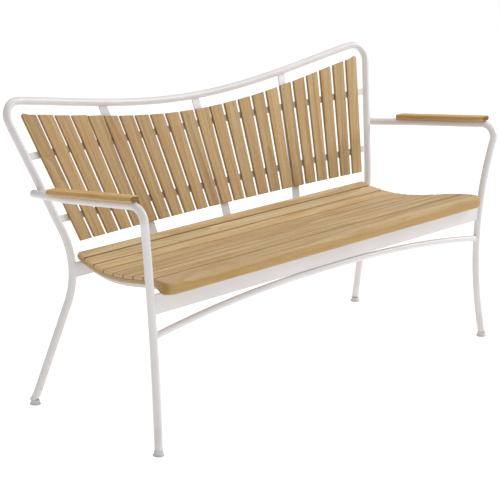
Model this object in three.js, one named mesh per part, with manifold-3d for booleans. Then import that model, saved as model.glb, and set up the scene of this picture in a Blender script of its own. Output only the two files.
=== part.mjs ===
// Garden bench: a bent round-tube frame, powder coated white, with a slatted teak seat,
// a fanned slatted back and two teak armrests.
// Millimetres, +Z up, front towards -Y. The origin is on the ground, in the middle of the footprint.

import * as THREE from 'three';
import { mergeVertices } from 'three/addons/utils/BufferGeometryUtils.js';
import Module from 'manifold-3d';

const wasm = await Module();
wasm.setup();

// ---------------------------------------------------------------- driving dimensions

const TUBE_RADIUS = 11;            // legs, arms and top rail: 22 mm tube
const STRETCHER_RADIUS = 9;        // front stretcher: 18 mm tube
const TUBE_SIDES = 12;
const BEND_STEPS = 8;
const CLEARANCE = 0.3;             // gap kept between pieces that touch
const CORNER_STEPS = 5;            // in each rounded corner of a board
const SEARCH_STEPS = 30;           // steps of a search for a point on a curve or surface

// Feet
const GLIDE_HEIGHT = 14;
const GLIDE_RADIUS = 15.5;
const GLIDE_TOP_RADIUS = 11.8;
const GLIDE_RIM = 2.5;
const GLIDE_CHAMFER = 1;
const GLIDE_RIM_STEP = 0.6;
const GLIDE_WAIST = 12.95;         // radius half way up
const GLIDE_SIDES = 20;

// Front leg and arm, right-hand side: one tube
const FRONT_FOOT = new THREE.Vector3(695, -288, 0);
const FRONT_LEG_SWEEP_LOW = new THREE.Vector3(669, -253, 210);    // these two pull the leg inwards
const FRONT_LEG_SWEEP_HIGH = new THREE.Vector3(681, -247, 420);   // and back at seat height
const FRONT_LEG_TOP = new THREE.Vector3(726.5, -273.5, 628);
const ARM_CORNER = new THREE.Vector3(728.5, -272, 670);
const ARM_KINK = new THREE.Vector3(721, 50, 630);             // from here the arm runs in to the back post
const ARM_TIP = new THREE.Vector3(693.5, 199, 612.5);
const ARM_BEND_RADIUS = 40;
const ARM_KINK_RADIUS = 420;
const FRONT_LEG_STEPS = 12;
const ARM_KINK_STEPS = 5;
const ARM_CAP_LENGTH = 4;
const ARM_CAP_SIDES = 16;
const ARM_CAP_PROFILE = [[1, 0], [1, 0.4], [0.8, 0.8], [0.5, 1]];    // shares of the radius and length

// Rear leg and back post, right-hand side: one tube up to the welded corner of the top rail
const REAR_FOOT = new THREE.Vector3(686.5, 232, 0);
const REAR_KNEE = new THREE.Vector3(605, 118.5, 407);
const REAR_KNEE_RADIUS = 278;
const POST_CORNER = new THREE.Vector3(749, 272, 861.5);       // where the post's line meets the rail's
const POST_CORNER_RADIUS = 45;
const RAIL_TAIL = 14;                                         // straight tube below the rail's corner bend

// Top rail: dips in the middle along a cosine, and bows back
const RAIL_MIDDLE_Z = 776;
const RAIL_WAVE = 55.7;
const RAIL_HALF_WAVE = 1092;
const RAIL_MIDDLE_Y = 296;
const RAIL_BOW = 18;
const RAIL_BOW_AT = 687;
const RAIL_STEPS = 28;
const RAIL_AIM_X = 600;                                       // the corner bend aims at the rail here

// Back slats: a fan, closer together at the bottom
const BACK_SLATS = 23;
const BACK_PITCH_TOP = 60.1;
const BACK_PITCH_BOTTOM = 51.5;
const BACK_GAP = 11;
const BACK_THICKNESS = 8;
const BACK_BOTTOM_Z = 475;
const BACK_BOTTOM_Y = 152;
const BACK_BOTTOM_BOW = 21.5;
const BACK_TOP_BELOW_RAIL = 33.5;
const BACK_TOP_Y = 264;
const BACK_TOP_BOW = 12;
const BACK_CORNER_RADIUS = 9;      // the outer top corners of the two end slats

// Bars behind the back slats
const BAR_HEIGHT = 20;
const BAR_THICKNESS = 4;
const BAR_GAP = 1.3;               // behind the slats, which are flat where the bar is bent
const BAR_STEPS = 16;
const UPPER_BAR = { endZ: 713, middleZ: 704 };
const LOWER_BAR = { endZ: 543, middleZ: 535 };
const STRAP_WIDTH = 30;
const STRAP_THICKNESS = 4;
const STRAP_TOP_PLACE = 6.06;      // places of the outer straps, in slat pitches from the middle
const STRAP_BOTTOM_PLACE = 5.97;
const STRAP_GAP = 1;               // between the straps and the bars they are welded to
const STRAP_LAP_Z = 398;           // below this the strap lies flat on the rear apron
const STRAP_FOOT_Z = 384;
const STRAP_STEPS = 18;

// Aprons and stretcher
const FRONT_APRON = { y: -258, bottom: 374, top: 428.5, thickness: 8 };
const REAR_APRON = { y: 136, bottom: 374, top: 416, thickness: 6 };
const STRETCHER_END_Z = 317;
const STRETCHER_CROWN_Z = 364.5;
const STRETCHER_HALF_SPAN = 668;
const STRETCHER_FLATNESS = 2.2;    // 2 would be a parabola; more is flatter at the crown
const STRETCHER_STEPS = 18;
const CROSS_BAR_REACH = 740;       // half span of a cross bar before it is cut at the legs

// Seat: the top surface in side view, from the rear edge to the front groove
const SEAT_REAR_Y = 139.5;
const SEAT_GROOVE_Y = -221;        // the groove behind the front slat
const SEAT_CURVE = new THREE.SplineCurve([
  new THREE.Vector2(SEAT_REAR_Y, 443),
  new THREE.Vector2(109, 432.6),
  new THREE.Vector2(14, 422),
  new THREE.Vector2(-83, 431),
  new THREE.Vector2(-177, 449.5),
  new THREE.Vector2(SEAT_GROOVE_Y, 456),
]);
const SEAT_SLATS = 8;              // behind the front slat
const SEAT_SLAT_PITCH = 47.1;
const SEAT_GAP = 3;
const SEAT_THICKNESS = 20;         // slats and bearers together; the front slat is solid
const SEAT_SLAT_THICKNESS = 9;
const SEAT_EASE = 2.2;             // eased long edges
const NOSE_TOP = new THREE.Vector2(-266, 458.5);         // where the front slat starts to round over
const NOSE_TOP_PULL = new THREE.Vector2(-291, 457.5);
const NOSE_FRONT = new THREE.Vector2(-295, 442.5);
const NOSE_BOTTOM_PULL = new THREE.Vector2(-295, 427.5);
const NOSE_BOTTOM = new THREE.Vector2(-284, 425.5);
const NOSE_STEPS = 6;
const FRONT_CORNER_RADIUS = 17;    // the front slat's two front corners, seen from above
const SEAT_END_REAR_X = 593.5;     // half length of the rear slat
const SEAT_END_SPREAD = 0.155;     // how much longer the seat gets, per millimetre forwards

// Wooden bearers under the slats, and the steel rails under them
const BEARER_WIDTH = 24;
const BEARER_GAP = 0.6;
const BEARER_STEPS = 24;
const SEAT_RAIL_HEIGHT = 12;
const SEAT_RAIL_WIDTH = 14;
const SEAT_RAIL_INSET = 21;
const SEAT_RAIL_GAP = 1;
const SEAT_RAIL_STEPS = 16;

// Armrests
const ARMREST_WIDTH = 41;
const ARMREST_THICKNESS = 14;
const ARMREST_RECESS = 1.5;        // how deep the tube sits in the wood
const ARMREST_FRONT_Y = -243;
const ARMREST_REAR_Y = 96;
const ARMREST_END_RADIUS = 12;
const ARMREST_UNDERCUT = 5;
const ARMREST_UNDERCUT_LENGTH = 40;

// ---------------------------------------------------------------- materials

function paintedMetal() {
  return new THREE.MeshStandardMaterial({ color: 0xf1efee, roughness: 0.42, metalness: 0.0 });
}

function seatTeak() {
  return new THREE.MeshStandardMaterial({ color: 0xbf9f72, roughness: 0.62, metalness: 0.0 });
}

function backTeak() {
  return new THREE.MeshStandardMaterial({ color: 0xb4925f, roughness: 0.62, metalness: 0.0 });
}

function armTeak() {
  return new THREE.MeshStandardMaterial({ color: 0xa98b5e, roughness: 0.6, metalness: 0.0 });
}

function glidePlastic() {
  return new THREE.MeshStandardMaterial({ color: 0xd9d7d4, roughness: 0.5, metalness: 0.0 });
}

// ---------------------------------------------------------------- solids and booleans

function toSolid(geometry) {
  const bare = geometry.clone();
  bare.deleteAttribute('normal');
  bare.deleteAttribute('uv');
  const merged = mergeVertices(bare, 1e-4);
  const vertProperties = new Float32Array(merged.attributes.position.array);
  const triVerts = new Uint32Array(merged.index.array);
  return new wasm.Manifold(new wasm.Mesh({ numProp: 3, vertProperties, triVerts }));
}

function toGeometry(solid) {
  const { vertProperties, triVerts } = solid.getMesh();
  const geometry = new THREE.BufferGeometry();
  geometry.setAttribute('position', new THREE.BufferAttribute(vertProperties, 3));
  geometry.setIndex(new THREE.BufferAttribute(triVerts, 1));
  geometry.computeVertexNormals();
  return geometry;
}

function subtractAll(geometry, cutters) {
  return cutters.reduce((solid, cutter) => solid.subtract(toSolid(cutter)), toSolid(geometry));
}

function cut(geometry, cutters) {
  return toGeometry(subtractAll(geometry, cutters));
}

// Cuts a cross piece at its neighbours and keeps only the part between them.
function keepMiddle(geometry, cutters) {
  const parts = subtractAll(geometry, cutters).decompose();
  const widest = parts.reduce((best, part) => (part.volume() > best.volume() ? part : best));
  return toGeometry(widest);
}

// Moves every vertex of a geometry to the point that place() gives for it.
function reshape(geometry, place) {
  const position = geometry.attributes.position;
  const vertex = new THREE.Vector3();
  for (let i = 0; i < position.count; i += 1) {
    vertex.fromBufferAttribute(position, i);
    vertex.copy(place(vertex));
    position.setXYZ(i, vertex.x, vertex.y, vertex.z);
  }
  geometry.computeVertexNormals();
  return geometry;
}

// The mirror image on the other side of the bench, with its faces turned the right way out again.
function mirrorX(geometry) {
  const mirrored = geometry.index ? geometry.toNonIndexed() : geometry.clone();
  mirrored.scale(-1, 1, 1);
  const position = mirrored.attributes.position;
  for (let i = 0; i < position.count; i += 3) {
    const x = position.getX(i);
    const y = position.getY(i);
    const z = position.getZ(i);
    position.setXYZ(i, position.getX(i + 1), position.getY(i + 1), position.getZ(i + 1));
    position.setXYZ(i + 1, x, y, z);
  }
  mirrored.computeVertexNormals();
  return mirrored;
}

// ---------------------------------------------------------------- tubes

// A path that passes through a list of stations, close together only where it bends.
class StationPath extends THREE.Curve {
  constructor(stations) {
    super();
    this.stations = stations;
  }

  getPoint(t, target = new THREE.Vector3()) {
    const place = t * (this.stations.length - 1);
    const index = Math.min(Math.floor(place), this.stations.length - 2);
    return target.lerpVectors(this.stations[index], this.stations[index + 1], place - index);
  }

  getPointAt(u, target) {
    return this.getPoint(u, target);
  }

  getTangentAt(u, target) {
    return this.getTangent(u, target);
  }
}

// Points of the arc that rounds the corner between two straight runs.
function bendStations(before, corner, after, radius, steps) {
  const incoming = corner.clone().sub(before).normalize();
  const outgoing = after.clone().sub(corner).normalize();
  const turn = incoming.angleTo(outgoing);
  const tangentLength = radius * Math.tan(turn / 2);
  const start = corner.clone().addScaledVector(incoming, -tangentLength);
  const axis = incoming.clone().cross(outgoing).normalize();
  const toCentre = axis.clone().cross(incoming).multiplyScalar(radius);
  const centre = start.clone().add(toCentre);
  const stations = [];
  for (let i = 0; i <= steps; i += 1) {
    const spoke = start.clone().sub(centre).applyAxisAngle(axis, (turn * i) / steps);
    stations.push(centre.clone().add(spoke));
  }
  return stations;
}

function circle(radius) {
  const shape = new THREE.Shape();
  shape.absarc(0, 0, radius, 0, 2 * Math.PI, false);
  return shape;
}

function tube(stations, radius, sides = TUBE_SIDES) {
  return new THREE.ExtrudeGeometry(circle(radius), {
    extrudePath: new StationPath(stations),
    steps: stations.length - 1,
    curveSegments: sides,
    bevelEnabled: false,
  });
}

function pointAlong(from, to, distance) {
  return from.clone().addScaledVector(to.clone().sub(from).normalize(), distance);
}

// Everything below the tops of the glides.
function groundBlock() {
  const size = 4 * CROSS_BAR_REACH;
  return new THREE.BoxGeometry(size, size, size).translate(0, 0, GLIDE_HEIGHT + CLEARANCE - size / 2);
}

// ---------------------------------------------------------------- frame centrelines, right-hand side

function frontLegStations() {
  const sweep = [FRONT_LEG_SWEEP_LOW, FRONT_LEG_SWEEP_HIGH];
  const leg = new THREE.CubicBezierCurve3(FRONT_FOOT, ...sweep, FRONT_LEG_TOP).getPoints(FRONT_LEG_STEPS);
  const bend = bendStations(FRONT_LEG_TOP, ARM_CORNER, ARM_KINK, ARM_BEND_RADIUS, BEND_STEPS);
  const kink = bendStations(ARM_CORNER, ARM_KINK, ARM_TIP, ARM_KINK_RADIUS, ARM_KINK_STEPS);
  leg.pop();
  return [...leg, ...bend, ...kink, ARM_TIP.clone()];
}

function rearLegLine() {
  const knee = bendStations(REAR_FOOT, REAR_KNEE, POST_CORNER, REAR_KNEE_RADIUS, BEND_STEPS);
  return [REAR_FOOT.clone(), ...knee];
}

function railPoint(x) {
  const z = RAIL_MIDDLE_Z + RAIL_WAVE * (1 - Math.cos((Math.PI * x) / RAIL_HALF_WAVE));
  const y = RAIL_MIDDLE_Y - RAIL_BOW * (x / RAIL_BOW_AT) ** 2;
  return new THREE.Vector3(x, y, z);
}

const RAIL_AIM = railPoint(RAIL_AIM_X);
const RAIL_BEND = bendStations(REAR_KNEE, POST_CORNER, RAIL_AIM, POST_CORNER_RADIUS, BEND_STEPS);
const POST_TOP = pointAlong(RAIL_BEND[0], REAR_KNEE, RAIL_TAIL);

function rearLegStations() {
  return [...rearLegLine(), pointAlong(POST_TOP, REAR_KNEE, CLEARANCE)];
}

// Half of the rail, from the weld on the post to the middle.
function halfRailStations() {
  const bend = RAIL_BEND.map((station) => station.clone());
  const bendEnd = bend[bend.length - 1];
  const wave = [];
  for (let i = RAIL_STEPS / 2 - 1; i >= 0; i -= 1) {
    const x = (bendEnd.x * i) / (RAIL_STEPS / 2);
    wave.push(railPoint(x));
  }
  return [POST_TOP.clone(), ...bend, ...wave];
}

function railStations() {
  const right = halfRailStations();
  const left = right
    .slice(0, -1)
    .reverse()
    .map((station) => new THREE.Vector3(-station.x, station.y, station.z));
  return [...right, ...left];
}

// ---------------------------------------------------------------- frame pieces

function frontLegAndArm() {
  return cut(tube(frontLegStations(), TUBE_RADIUS), [groundBlock()]);
}

function rearLeg() {
  return cut(tube(rearLegStations(), TUBE_RADIUS), [groundBlock()]);
}

function topRail() {
  return tube(railStations(), TUBE_RADIUS);
}

function bothSides(geometry) {
  return [geometry, mirrorX(geometry)];
}

function legCutters(stations) {
  return bothSides(tube(stations, TUBE_RADIUS + CLEARANCE));
}

function stretcher() {
  const stations = [];
  for (let i = 0; i <= STRETCHER_STEPS; i += 1) {
    const side = (2 * i) / STRETCHER_STEPS - 1;
    const drop = (STRETCHER_CROWN_Z - STRETCHER_END_Z) * Math.abs(side) ** STRETCHER_FLATNESS;
    const z = STRETCHER_CROWN_Z - drop;
    stations.push(new THREE.Vector3(side * STRETCHER_HALF_SPAN, FRONT_APRON.y, z));
  }
  return keepMiddle(tube(stations, STRETCHER_RADIUS), legCutters(frontLegStations()));
}

function apron({ y, bottom, top, thickness }, stations) {
  const plate = new THREE.BoxGeometry(2 * CROSS_BAR_REACH, thickness, top - bottom);
  plate.translate(0, y, (top + bottom) / 2);
  return keepMiddle(plate, legCutters(stations));
}

function glide(foot) {
  const profile = [
    new THREE.Vector2(0, 0),
    new THREE.Vector2(GLIDE_RADIUS - GLIDE_CHAMFER, 0),
    new THREE.Vector2(GLIDE_RADIUS, GLIDE_RIM / 2),
    new THREE.Vector2(GLIDE_RADIUS - GLIDE_RIM_STEP, GLIDE_RIM),
    new THREE.Vector2(GLIDE_WAIST, GLIDE_HEIGHT / 2),
    new THREE.Vector2(GLIDE_TOP_RADIUS, GLIDE_HEIGHT),
    new THREE.Vector2(0, GLIDE_HEIGHT),
  ];
  const geometry = new THREE.LatheGeometry(profile, GLIDE_SIDES);
  geometry.rotateX(Math.PI / 2);
  geometry.translate(foot.x, foot.y, 0);
  return geometry;
}

function footAt(stations, height) {
  const path = stations[1].clone().sub(stations[0]);
  return stations[0].clone().addScaledVector(path, (height - stations[0].z) / path.z);
}

function armCap() {
  const stations = frontLegStations();
  const tip = stations[stations.length - 1];
  const inwards = stations[stations.length - 2];
  const direction = tip.clone().sub(inwards).normalize();
  const profile = [new THREE.Vector2(0, 0)];
  for (const [radius, length] of ARM_CAP_PROFILE) {
    profile.push(new THREE.Vector2(radius * TUBE_RADIUS, length * ARM_CAP_LENGTH));
  }
  profile.push(new THREE.Vector2(0, ARM_CAP_LENGTH));
  const geometry = new THREE.LatheGeometry(profile, ARM_CAP_SIDES);
  const lathed = new THREE.Vector3(0, 1, 0);
  geometry.applyQuaternion(new THREE.Quaternion().setFromUnitVectors(lathed, direction));
  const seat = tip.clone().addScaledVector(direction, CLEARANCE);
  return geometry.translate(seat.x, seat.y, seat.z);
}

// ---------------------------------------------------------------- back

// Front face of the back at a place counted in slat pitches from the middle.
function backBottom(place) {
  const x = place * BACK_PITCH_BOTTOM;
  const half = (BACK_SLATS * BACK_PITCH_BOTTOM) / 2;
  return new THREE.Vector3(x, BACK_BOTTOM_Y - BACK_BOTTOM_BOW * (x / half) ** 2, BACK_BOTTOM_Z);
}

function backTop(place) {
  const x = place * BACK_PITCH_TOP;
  const half = (BACK_SLATS * BACK_PITCH_TOP) / 2;
  const z = railPoint(x).z - BACK_TOP_BELOW_RAIL;
  return new THREE.Vector3(x, BACK_TOP_Y - BACK_TOP_BOW * (x / half) ** 2, z);
}

// The point of the back's front face at a place and height, and the normal there, pointing backwards.
function backSurface(place, z) {
  const bottom = backBottom(place);
  const top = backTop(place);
  const up = top.clone().sub(bottom);
  const point = bottom.clone().addScaledVector(up, (z - bottom.z) / up.z);
  const across = backBottom(place + 0.5).sub(backBottom(place - 0.5));
  across.add(backTop(place + 0.5)).sub(backTop(place - 0.5));
  across.z = 0;
  const normal = up.clone().cross(across).normalize();
  return { point, normal };
}

function placeAtX(x, z) {
  let place = x / BACK_PITCH_TOP;
  for (let i = 0; i < SEARCH_STEPS; i += 1) {
    place += (x - backSurface(place, z).point.x) / BACK_PITCH_BOTTOM;
  }
  return place;
}

function backSlat(index) {
  const place = index - (BACK_SLATS - 1) / 2;
  const halfTop = 0.5 - BACK_GAP / 2 / BACK_PITCH_TOP;
  const halfBottom = 0.5 - BACK_GAP / 2 / BACK_PITCH_BOTTOM;
  const corners = [
    backBottom(place - halfBottom),
    backBottom(place + halfBottom),
    backTop(place + halfTop),
    backTop(place - halfTop),
  ];
  const { point, normal } = backSurface(place, BACK_BOTTOM_Z);
  const up = backTop(place).sub(backBottom(place)).normalize();
  const across = up.clone().cross(normal).negate();
  const frame = new THREE.Matrix4().makeBasis(across, up, normal.clone().negate());
  frame.setPosition(point);
  const flatten = frame.clone().invert();
  const flat = corners.map((corner) => corner.applyMatrix4(flatten));
  const topRight = index === BACK_SLATS - 1 ? BACK_CORNER_RADIUS : 0;
  const topLeft = index === 0 ? BACK_CORNER_RADIUS : 0;
  const board = new THREE.ExtrudeGeometry(roundedOutline(flat, [0, 0, topRight, topLeft]), {
    depth: BACK_THICKNESS,
    curveSegments: CORNER_STEPS,
    bevelEnabled: false,
  });
  board.translate(0, 0, -BACK_THICKNESS);
  return board.applyMatrix4(frame);
}

// A polygon whose corners may be rounded, each with its own radius.
function roundedOutline(points, radii) {
  const shape = new THREE.Shape();
  points.forEach((corner, i) => {
    const before = points[(i + points.length - 1) % points.length];
    const after = points[(i + 1) % points.length];
    const start = pointAlong(corner, before, radii[i]);
    const end = pointAlong(corner, after, radii[i]);
    if (i === 0) {
      shape.moveTo(start.x, start.y);
    } else {
      shape.lineTo(start.x, start.y);
    }
    if (radii[i] > 0) {
      shape.quadraticCurveTo(corner.x, corner.y, end.x, end.y);
    }
  });
  shape.closePath();
  return shape;
}

// A flat bar along the back of the slats, bent to the bow, between the two posts.
function backBar({ endZ, middleZ }) {
  const offset = BACK_THICKNESS + BAR_GAP + BAR_THICKNESS / 2;
  const bar = new THREE.BoxGeometry(2 * CROSS_BAR_REACH, BAR_THICKNESS, BAR_HEIGHT, BAR_STEPS, 1, 1);
  const half = (BACK_SLATS * BACK_PITCH_TOP) / 2;
  reshape(bar, ({ x, y, z }) => {
    const centreZ = middleZ + (endZ - middleZ) * (x / half) ** 2;
    const { point, normal } = backSurface(placeAtX(x, centreZ), centreZ);
    const up = new THREE.Vector3(0, -normal.z, normal.y).normalize();
    return point.addScaledVector(normal, offset + y).addScaledVector(up, z);
  });
  return keepMiddle(bar, legCutters([...rearLegLine(), POST_TOP]));
}

// Depth of a strap's middle: parallel to the back down to the slats' ends, then in to the rear apron.
function strapDepth(place, z) {
  const offset = BACK_THICKNESS + BAR_GAP + BAR_THICKNESS + STRAP_GAP + STRAP_THICKNESS / 2;
  const { point, normal } = backSurface(place, Math.max(z, BACK_BOTTOM_Z));
  const behindBack = point.y + offset / normal.y;
  if (z >= BACK_BOTTOM_Z) {
    return behindBack;
  }
  const onApron = REAR_APRON.y + REAR_APRON.thickness / 2 + CLEARANCE + STRAP_THICKNESS / 2;
  const fall = Math.min(1, (BACK_BOTTOM_Z - z) / (BACK_BOTTOM_Z - STRAP_LAP_Z));
  return THREE.MathUtils.lerp(behindBack, onApron, fall);
}

// A flat strap from the top rail, down behind the two bars, lapped on the rear apron.
// side is -1, 0 or 1.
function backStrap(side) {
  const topZ = railPoint(side * STRAP_TOP_PLACE * BACK_PITCH_TOP).z;
  const placeAt = (z) => {
    const rise = (z - BACK_BOTTOM_Z) / (topZ - BACK_BOTTOM_Z);
    return side * THREE.MathUtils.lerp(STRAP_BOTTOM_PLACE, STRAP_TOP_PLACE, rise);
  };
  const strap = new THREE.BoxGeometry(STRAP_WIDTH, STRAP_THICKNESS, topZ - STRAP_FOOT_Z, 1, 1, STRAP_STEPS);
  strap.translate(0, 0, (topZ + STRAP_FOOT_Z) / 2);
  reshape(strap, ({ x, y, z }) => {
    const { point } = backSurface(placeAt(z), z);
    return new THREE.Vector3(point.x + x, strapDepth(placeAt(z), z) + y, z);
  });
  return cut(strap, [tube(railStations(), TUBE_RADIUS + CLEARANCE)]);
}

// ---------------------------------------------------------------- seat

function seatEndX(y) {
  return SEAT_END_REAR_X + SEAT_END_SPREAD * (SEAT_REAR_Y - y);
}

// Height of the seat's top surface at a depth: the curve runs from the rear edge forwards.
function seatHeight(y) {
  let behind = 0;
  let ahead = 1;
  for (let i = 0; i < SEARCH_STEPS; i += 1) {
    const middle = (behind + ahead) / 2;
    if (SEAT_CURVE.getPoint(middle).x > y) {
      behind = middle;
    } else {
      ahead = middle;
    }
  }
  return SEAT_CURVE.getPoint(behind).y;
}

// The grooves between the seat slats, from the rear edge forwards.
function seatGrooves() {
  const grooves = [new THREE.Vector2(SEAT_REAR_Y, seatHeight(SEAT_REAR_Y))];
  for (let i = SEAT_SLATS - 1; i >= 0; i -= 1) {
    const y = SEAT_GROOVE_Y + i * SEAT_SLAT_PITCH;
    grooves.push(new THREE.Vector2(y, seatHeight(y)));
  }
  return grooves;
}

const GROOVES = seatGrooves();

// Run, thickness direction and corners of one seat slat in side view.
function slatSection(index, thickness) {
  const rear = GROOVES[index];
  const front = GROOVES[index + 1];
  const run = front.clone().sub(rear).normalize();
  const down = new THREE.Vector2(-run.y, run.x);
  const topRear = rear.clone().addScaledVector(run, SEAT_GAP / 2);
  const topFront = front.clone().addScaledVector(run, -SEAT_GAP / 2);
  return {
    run,
    down,
    topRear,
    topFront,
    bottomRear: topRear.clone().addScaledVector(down, thickness),
    bottomFront: topFront.clone().addScaledVector(down, thickness),
  };
}

// Stretches a board's cross-section out to the seat's ends.
function seatBoard(outline, endX) {
  const options = { depth: 1, bevelEnabled: false, curveSegments: NOSE_STEPS };
  const board = new THREE.ExtrudeGeometry(outline, options);
  return reshape(board, ({ x, y, z }) => new THREE.Vector3((2 * z - 1) * endX(x), x, y));
}

function eased(corners, ease) {
  return roundedOutline(corners, corners.map(() => ease));
}

function seatSlat(index) {
  const { topRear, topFront, bottomFront, bottomRear } = slatSection(index, SEAT_SLAT_THICKNESS);
  return seatBoard(eased([topRear, topFront, bottomFront, bottomRear], SEAT_EASE), seatEndX);
}

// The front slat's ends: as the others', with the front corner rounded.
function frontSlatEndX(y) {
  const into = Math.max(0, NOSE_FRONT.x + FRONT_CORNER_RADIUS - y);
  return seatEndX(y) - FRONT_CORNER_RADIUS + Math.sqrt(FRONT_CORNER_RADIUS ** 2 - into ** 2);
}

// The front slat follows the tilt of the one behind it, then turns down into a bull nose.
function frontSeatSlat() {
  const { run, down } = slatSection(SEAT_SLATS - 1, SEAT_THICKNESS);
  const topRear = GROOVES[SEAT_SLATS].clone().addScaledVector(run, SEAT_GAP / 2);
  const bottomRear = topRear.clone().addScaledVector(down, SEAT_THICKNESS);
  const shape = new THREE.Shape();
  shape.moveTo(topRear.x, topRear.y - SEAT_EASE);
  shape.quadraticCurveTo(topRear.x, topRear.y, topRear.x - SEAT_EASE, topRear.y + SEAT_EASE / 10);
  shape.lineTo(NOSE_TOP.x, NOSE_TOP.y);
  shape.quadraticCurveTo(NOSE_TOP_PULL.x, NOSE_TOP_PULL.y, NOSE_FRONT.x, NOSE_FRONT.y);
  shape.quadraticCurveTo(NOSE_BOTTOM_PULL.x, NOSE_BOTTOM_PULL.y, NOSE_BOTTOM.x, NOSE_BOTTOM.y);
  shape.lineTo(bottomRear.x - SEAT_EASE, bottomRear.y - SEAT_EASE / 2);
  shape.lineTo(bottomRear.x, bottomRear.y + SEAT_EASE);
  shape.closePath();
  return seatBoard(shape, frontSlatEndX);
}

// The line at a depth below the seat's top surface in side view, straight under each slat.
function undersideLine(depth) {
  const line = [];
  for (let i = 0; i < SEAT_SLATS; i += 1) {
    line.push(slatSection(i, depth).bottomRear);
  }
  line.push(slatSection(SEAT_SLATS - 1, depth).bottomFront);
  return line;
}

function heightOn(line, y) {
  let i = 0;
  while (i < line.length - 2 && line[i + 1].x > y) {
    i += 1;
  }
  return THREE.MathUtils.mapLinear(y, line[i].x, line[i + 1].x, line[i].y, line[i + 1].y);
}

// A bar that runs from the back to the front of the seat, between two heights that change with depth.
function lengthwiseBar({ rearY, frontY, width, steps, xAt, topAt, bottomAt }) {
  const bar = new THREE.BoxGeometry(width, rearY - frontY, 1, 1, steps, 1);
  bar.translate(0, (rearY + frontY) / 2, 0.5);
  return reshape(bar, ({ x, y, z }) => {
    const height = THREE.MathUtils.lerp(bottomAt(y), topAt(y), z);
    return new THREE.Vector3(xAt(y) + x, y, height);
  });
}

// A curved wooden bearer, under the slats and behind the solid front slat.
function seatBearer(xAt) {
  const slats = undersideLine(SEAT_SLAT_THICKNESS);
  const underside = undersideLine(SEAT_THICKNESS);
  return lengthwiseBar({
    rearY: underside[0].x,
    frontY: underside[SEAT_SLATS].x,
    width: BEARER_WIDTH,
    steps: BEARER_STEPS,
    xAt,
    topAt: (y) => heightOn(slats, y) - BEARER_GAP,
    bottomAt: (y) => heightOn(underside, y),
  });
}

// A steel bar under the bearer from the rear apron to the front apron, following the seat's dip.
function seatRail(xAt) {
  const underside = undersideLine(SEAT_THICKNESS);
  underside.push(new THREE.Vector2(NOSE_BOTTOM.x, NOSE_BOTTOM.y - SEAT_RAIL_GAP));
  return lengthwiseBar({
    rearY: REAR_APRON.y - REAR_APRON.thickness / 2 - CLEARANCE,
    frontY: FRONT_APRON.y + FRONT_APRON.thickness / 2 + CLEARANCE,
    width: SEAT_RAIL_WIDTH,
    steps: SEAT_RAIL_STEPS,
    xAt,
    topAt: (y) => heightOn(underside, y) - SEAT_RAIL_GAP,
    bottomAt: (y) => heightOn(underside, y) - SEAT_RAIL_GAP - SEAT_RAIL_HEIGHT,
  });
}

// ---------------------------------------------------------------- armrests

// A board that follows the arm tube's straight run, with rounded ends and a hollow where the tube lies.
function armrest() {
  const slope = (ARM_CORNER.z - ARM_KINK.z) / (ARM_KINK.y - ARM_CORNER.y);
  const lineZ = (y) => ARM_CORNER.z - slope * (y - ARM_CORNER.y);
  const drift = (ARM_KINK.x - ARM_CORNER.x) / (ARM_KINK.y - ARM_CORNER.y);
  const lineX = (y) => ARM_CORNER.x + drift * (y - ARM_CORNER.y);
  const half = ARMREST_WIDTH / 2;
  const outline = roundedOutline(
    [
      new THREE.Vector3(-half, ARMREST_FRONT_Y, 0),
      new THREE.Vector3(half, ARMREST_FRONT_Y, 0),
      new THREE.Vector3(half, ARMREST_REAR_Y, 0),
      new THREE.Vector3(-half, ARMREST_REAR_Y, 0),
    ],
    [ARMREST_END_RADIUS, ARMREST_END_RADIUS, ARMREST_END_RADIUS / 2, ARMREST_END_RADIUS / 2],
  );
  const board = new THREE.ExtrudeGeometry(outline, {
    depth: ARMREST_THICKNESS,
    bevelEnabled: false,
    curveSegments: CORNER_STEPS,
  });
  const bottom = TUBE_RADIUS - ARMREST_RECESS;
  reshape(board, ({ x, y, z }) => {
    const into = Math.max(0, 1 - (y - ARMREST_FRONT_Y) / ARMREST_UNDERCUT_LENGTH);
    const lift = z < ARMREST_THICKNESS / 2 ? ARMREST_UNDERCUT * into * into : 0;
    return new THREE.Vector3(lineX(y) + x, y, lineZ(y) + bottom + z + lift);
  });
  return cut(board, [tube(frontLegStations(), TUBE_RADIUS + CLEARANCE)]);
}

// ---------------------------------------------------------------- assembly

const bench = new THREE.Group();

function add(name, geometry, material) {
  const mesh = new THREE.Mesh(geometry, material);
  mesh.name = name;
  bench.add(mesh);
}

function addPair(name, geometry, material) {
  add(`${name}_right`, geometry, material);
  add(`${name}_left`, mirrorX(geometry), material.clone());
}

function twoDigits(number) {
  return String(number).padStart(2, '0');
}

addPair('front_leg_and_arm', frontLegAndArm(), paintedMetal());
addPair('rear_leg_and_post', rearLeg(), paintedMetal());
add('top_rail', topRail(), paintedMetal());
add('front_apron', apron(FRONT_APRON, frontLegStations()), paintedMetal());
add('rear_apron', apron(REAR_APRON, rearLegLine()), paintedMetal());
add('front_stretcher', stretcher(), paintedMetal());
addPair('seat_rail', seatRail((y) => seatEndX(y) - SEAT_RAIL_INSET), paintedMetal());
add('seat_rail_middle', seatRail(() => 0), paintedMetal());
addPair('seat_bearer', seatBearer((y) => seatEndX(y) - BEARER_WIDTH / 2), seatTeak());
add('seat_bearer_middle', seatBearer(() => 0), seatTeak());
add('back_bar_upper', backBar(UPPER_BAR), paintedMetal());
add('back_bar_lower', backBar(LOWER_BAR), paintedMetal());
add('back_strap_left', backStrap(-1), paintedMetal());
add('back_strap_middle', backStrap(0), paintedMetal());
add('back_strap_right', backStrap(1), paintedMetal());
addPair('arm_tube_cap', armCap(), paintedMetal());
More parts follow.
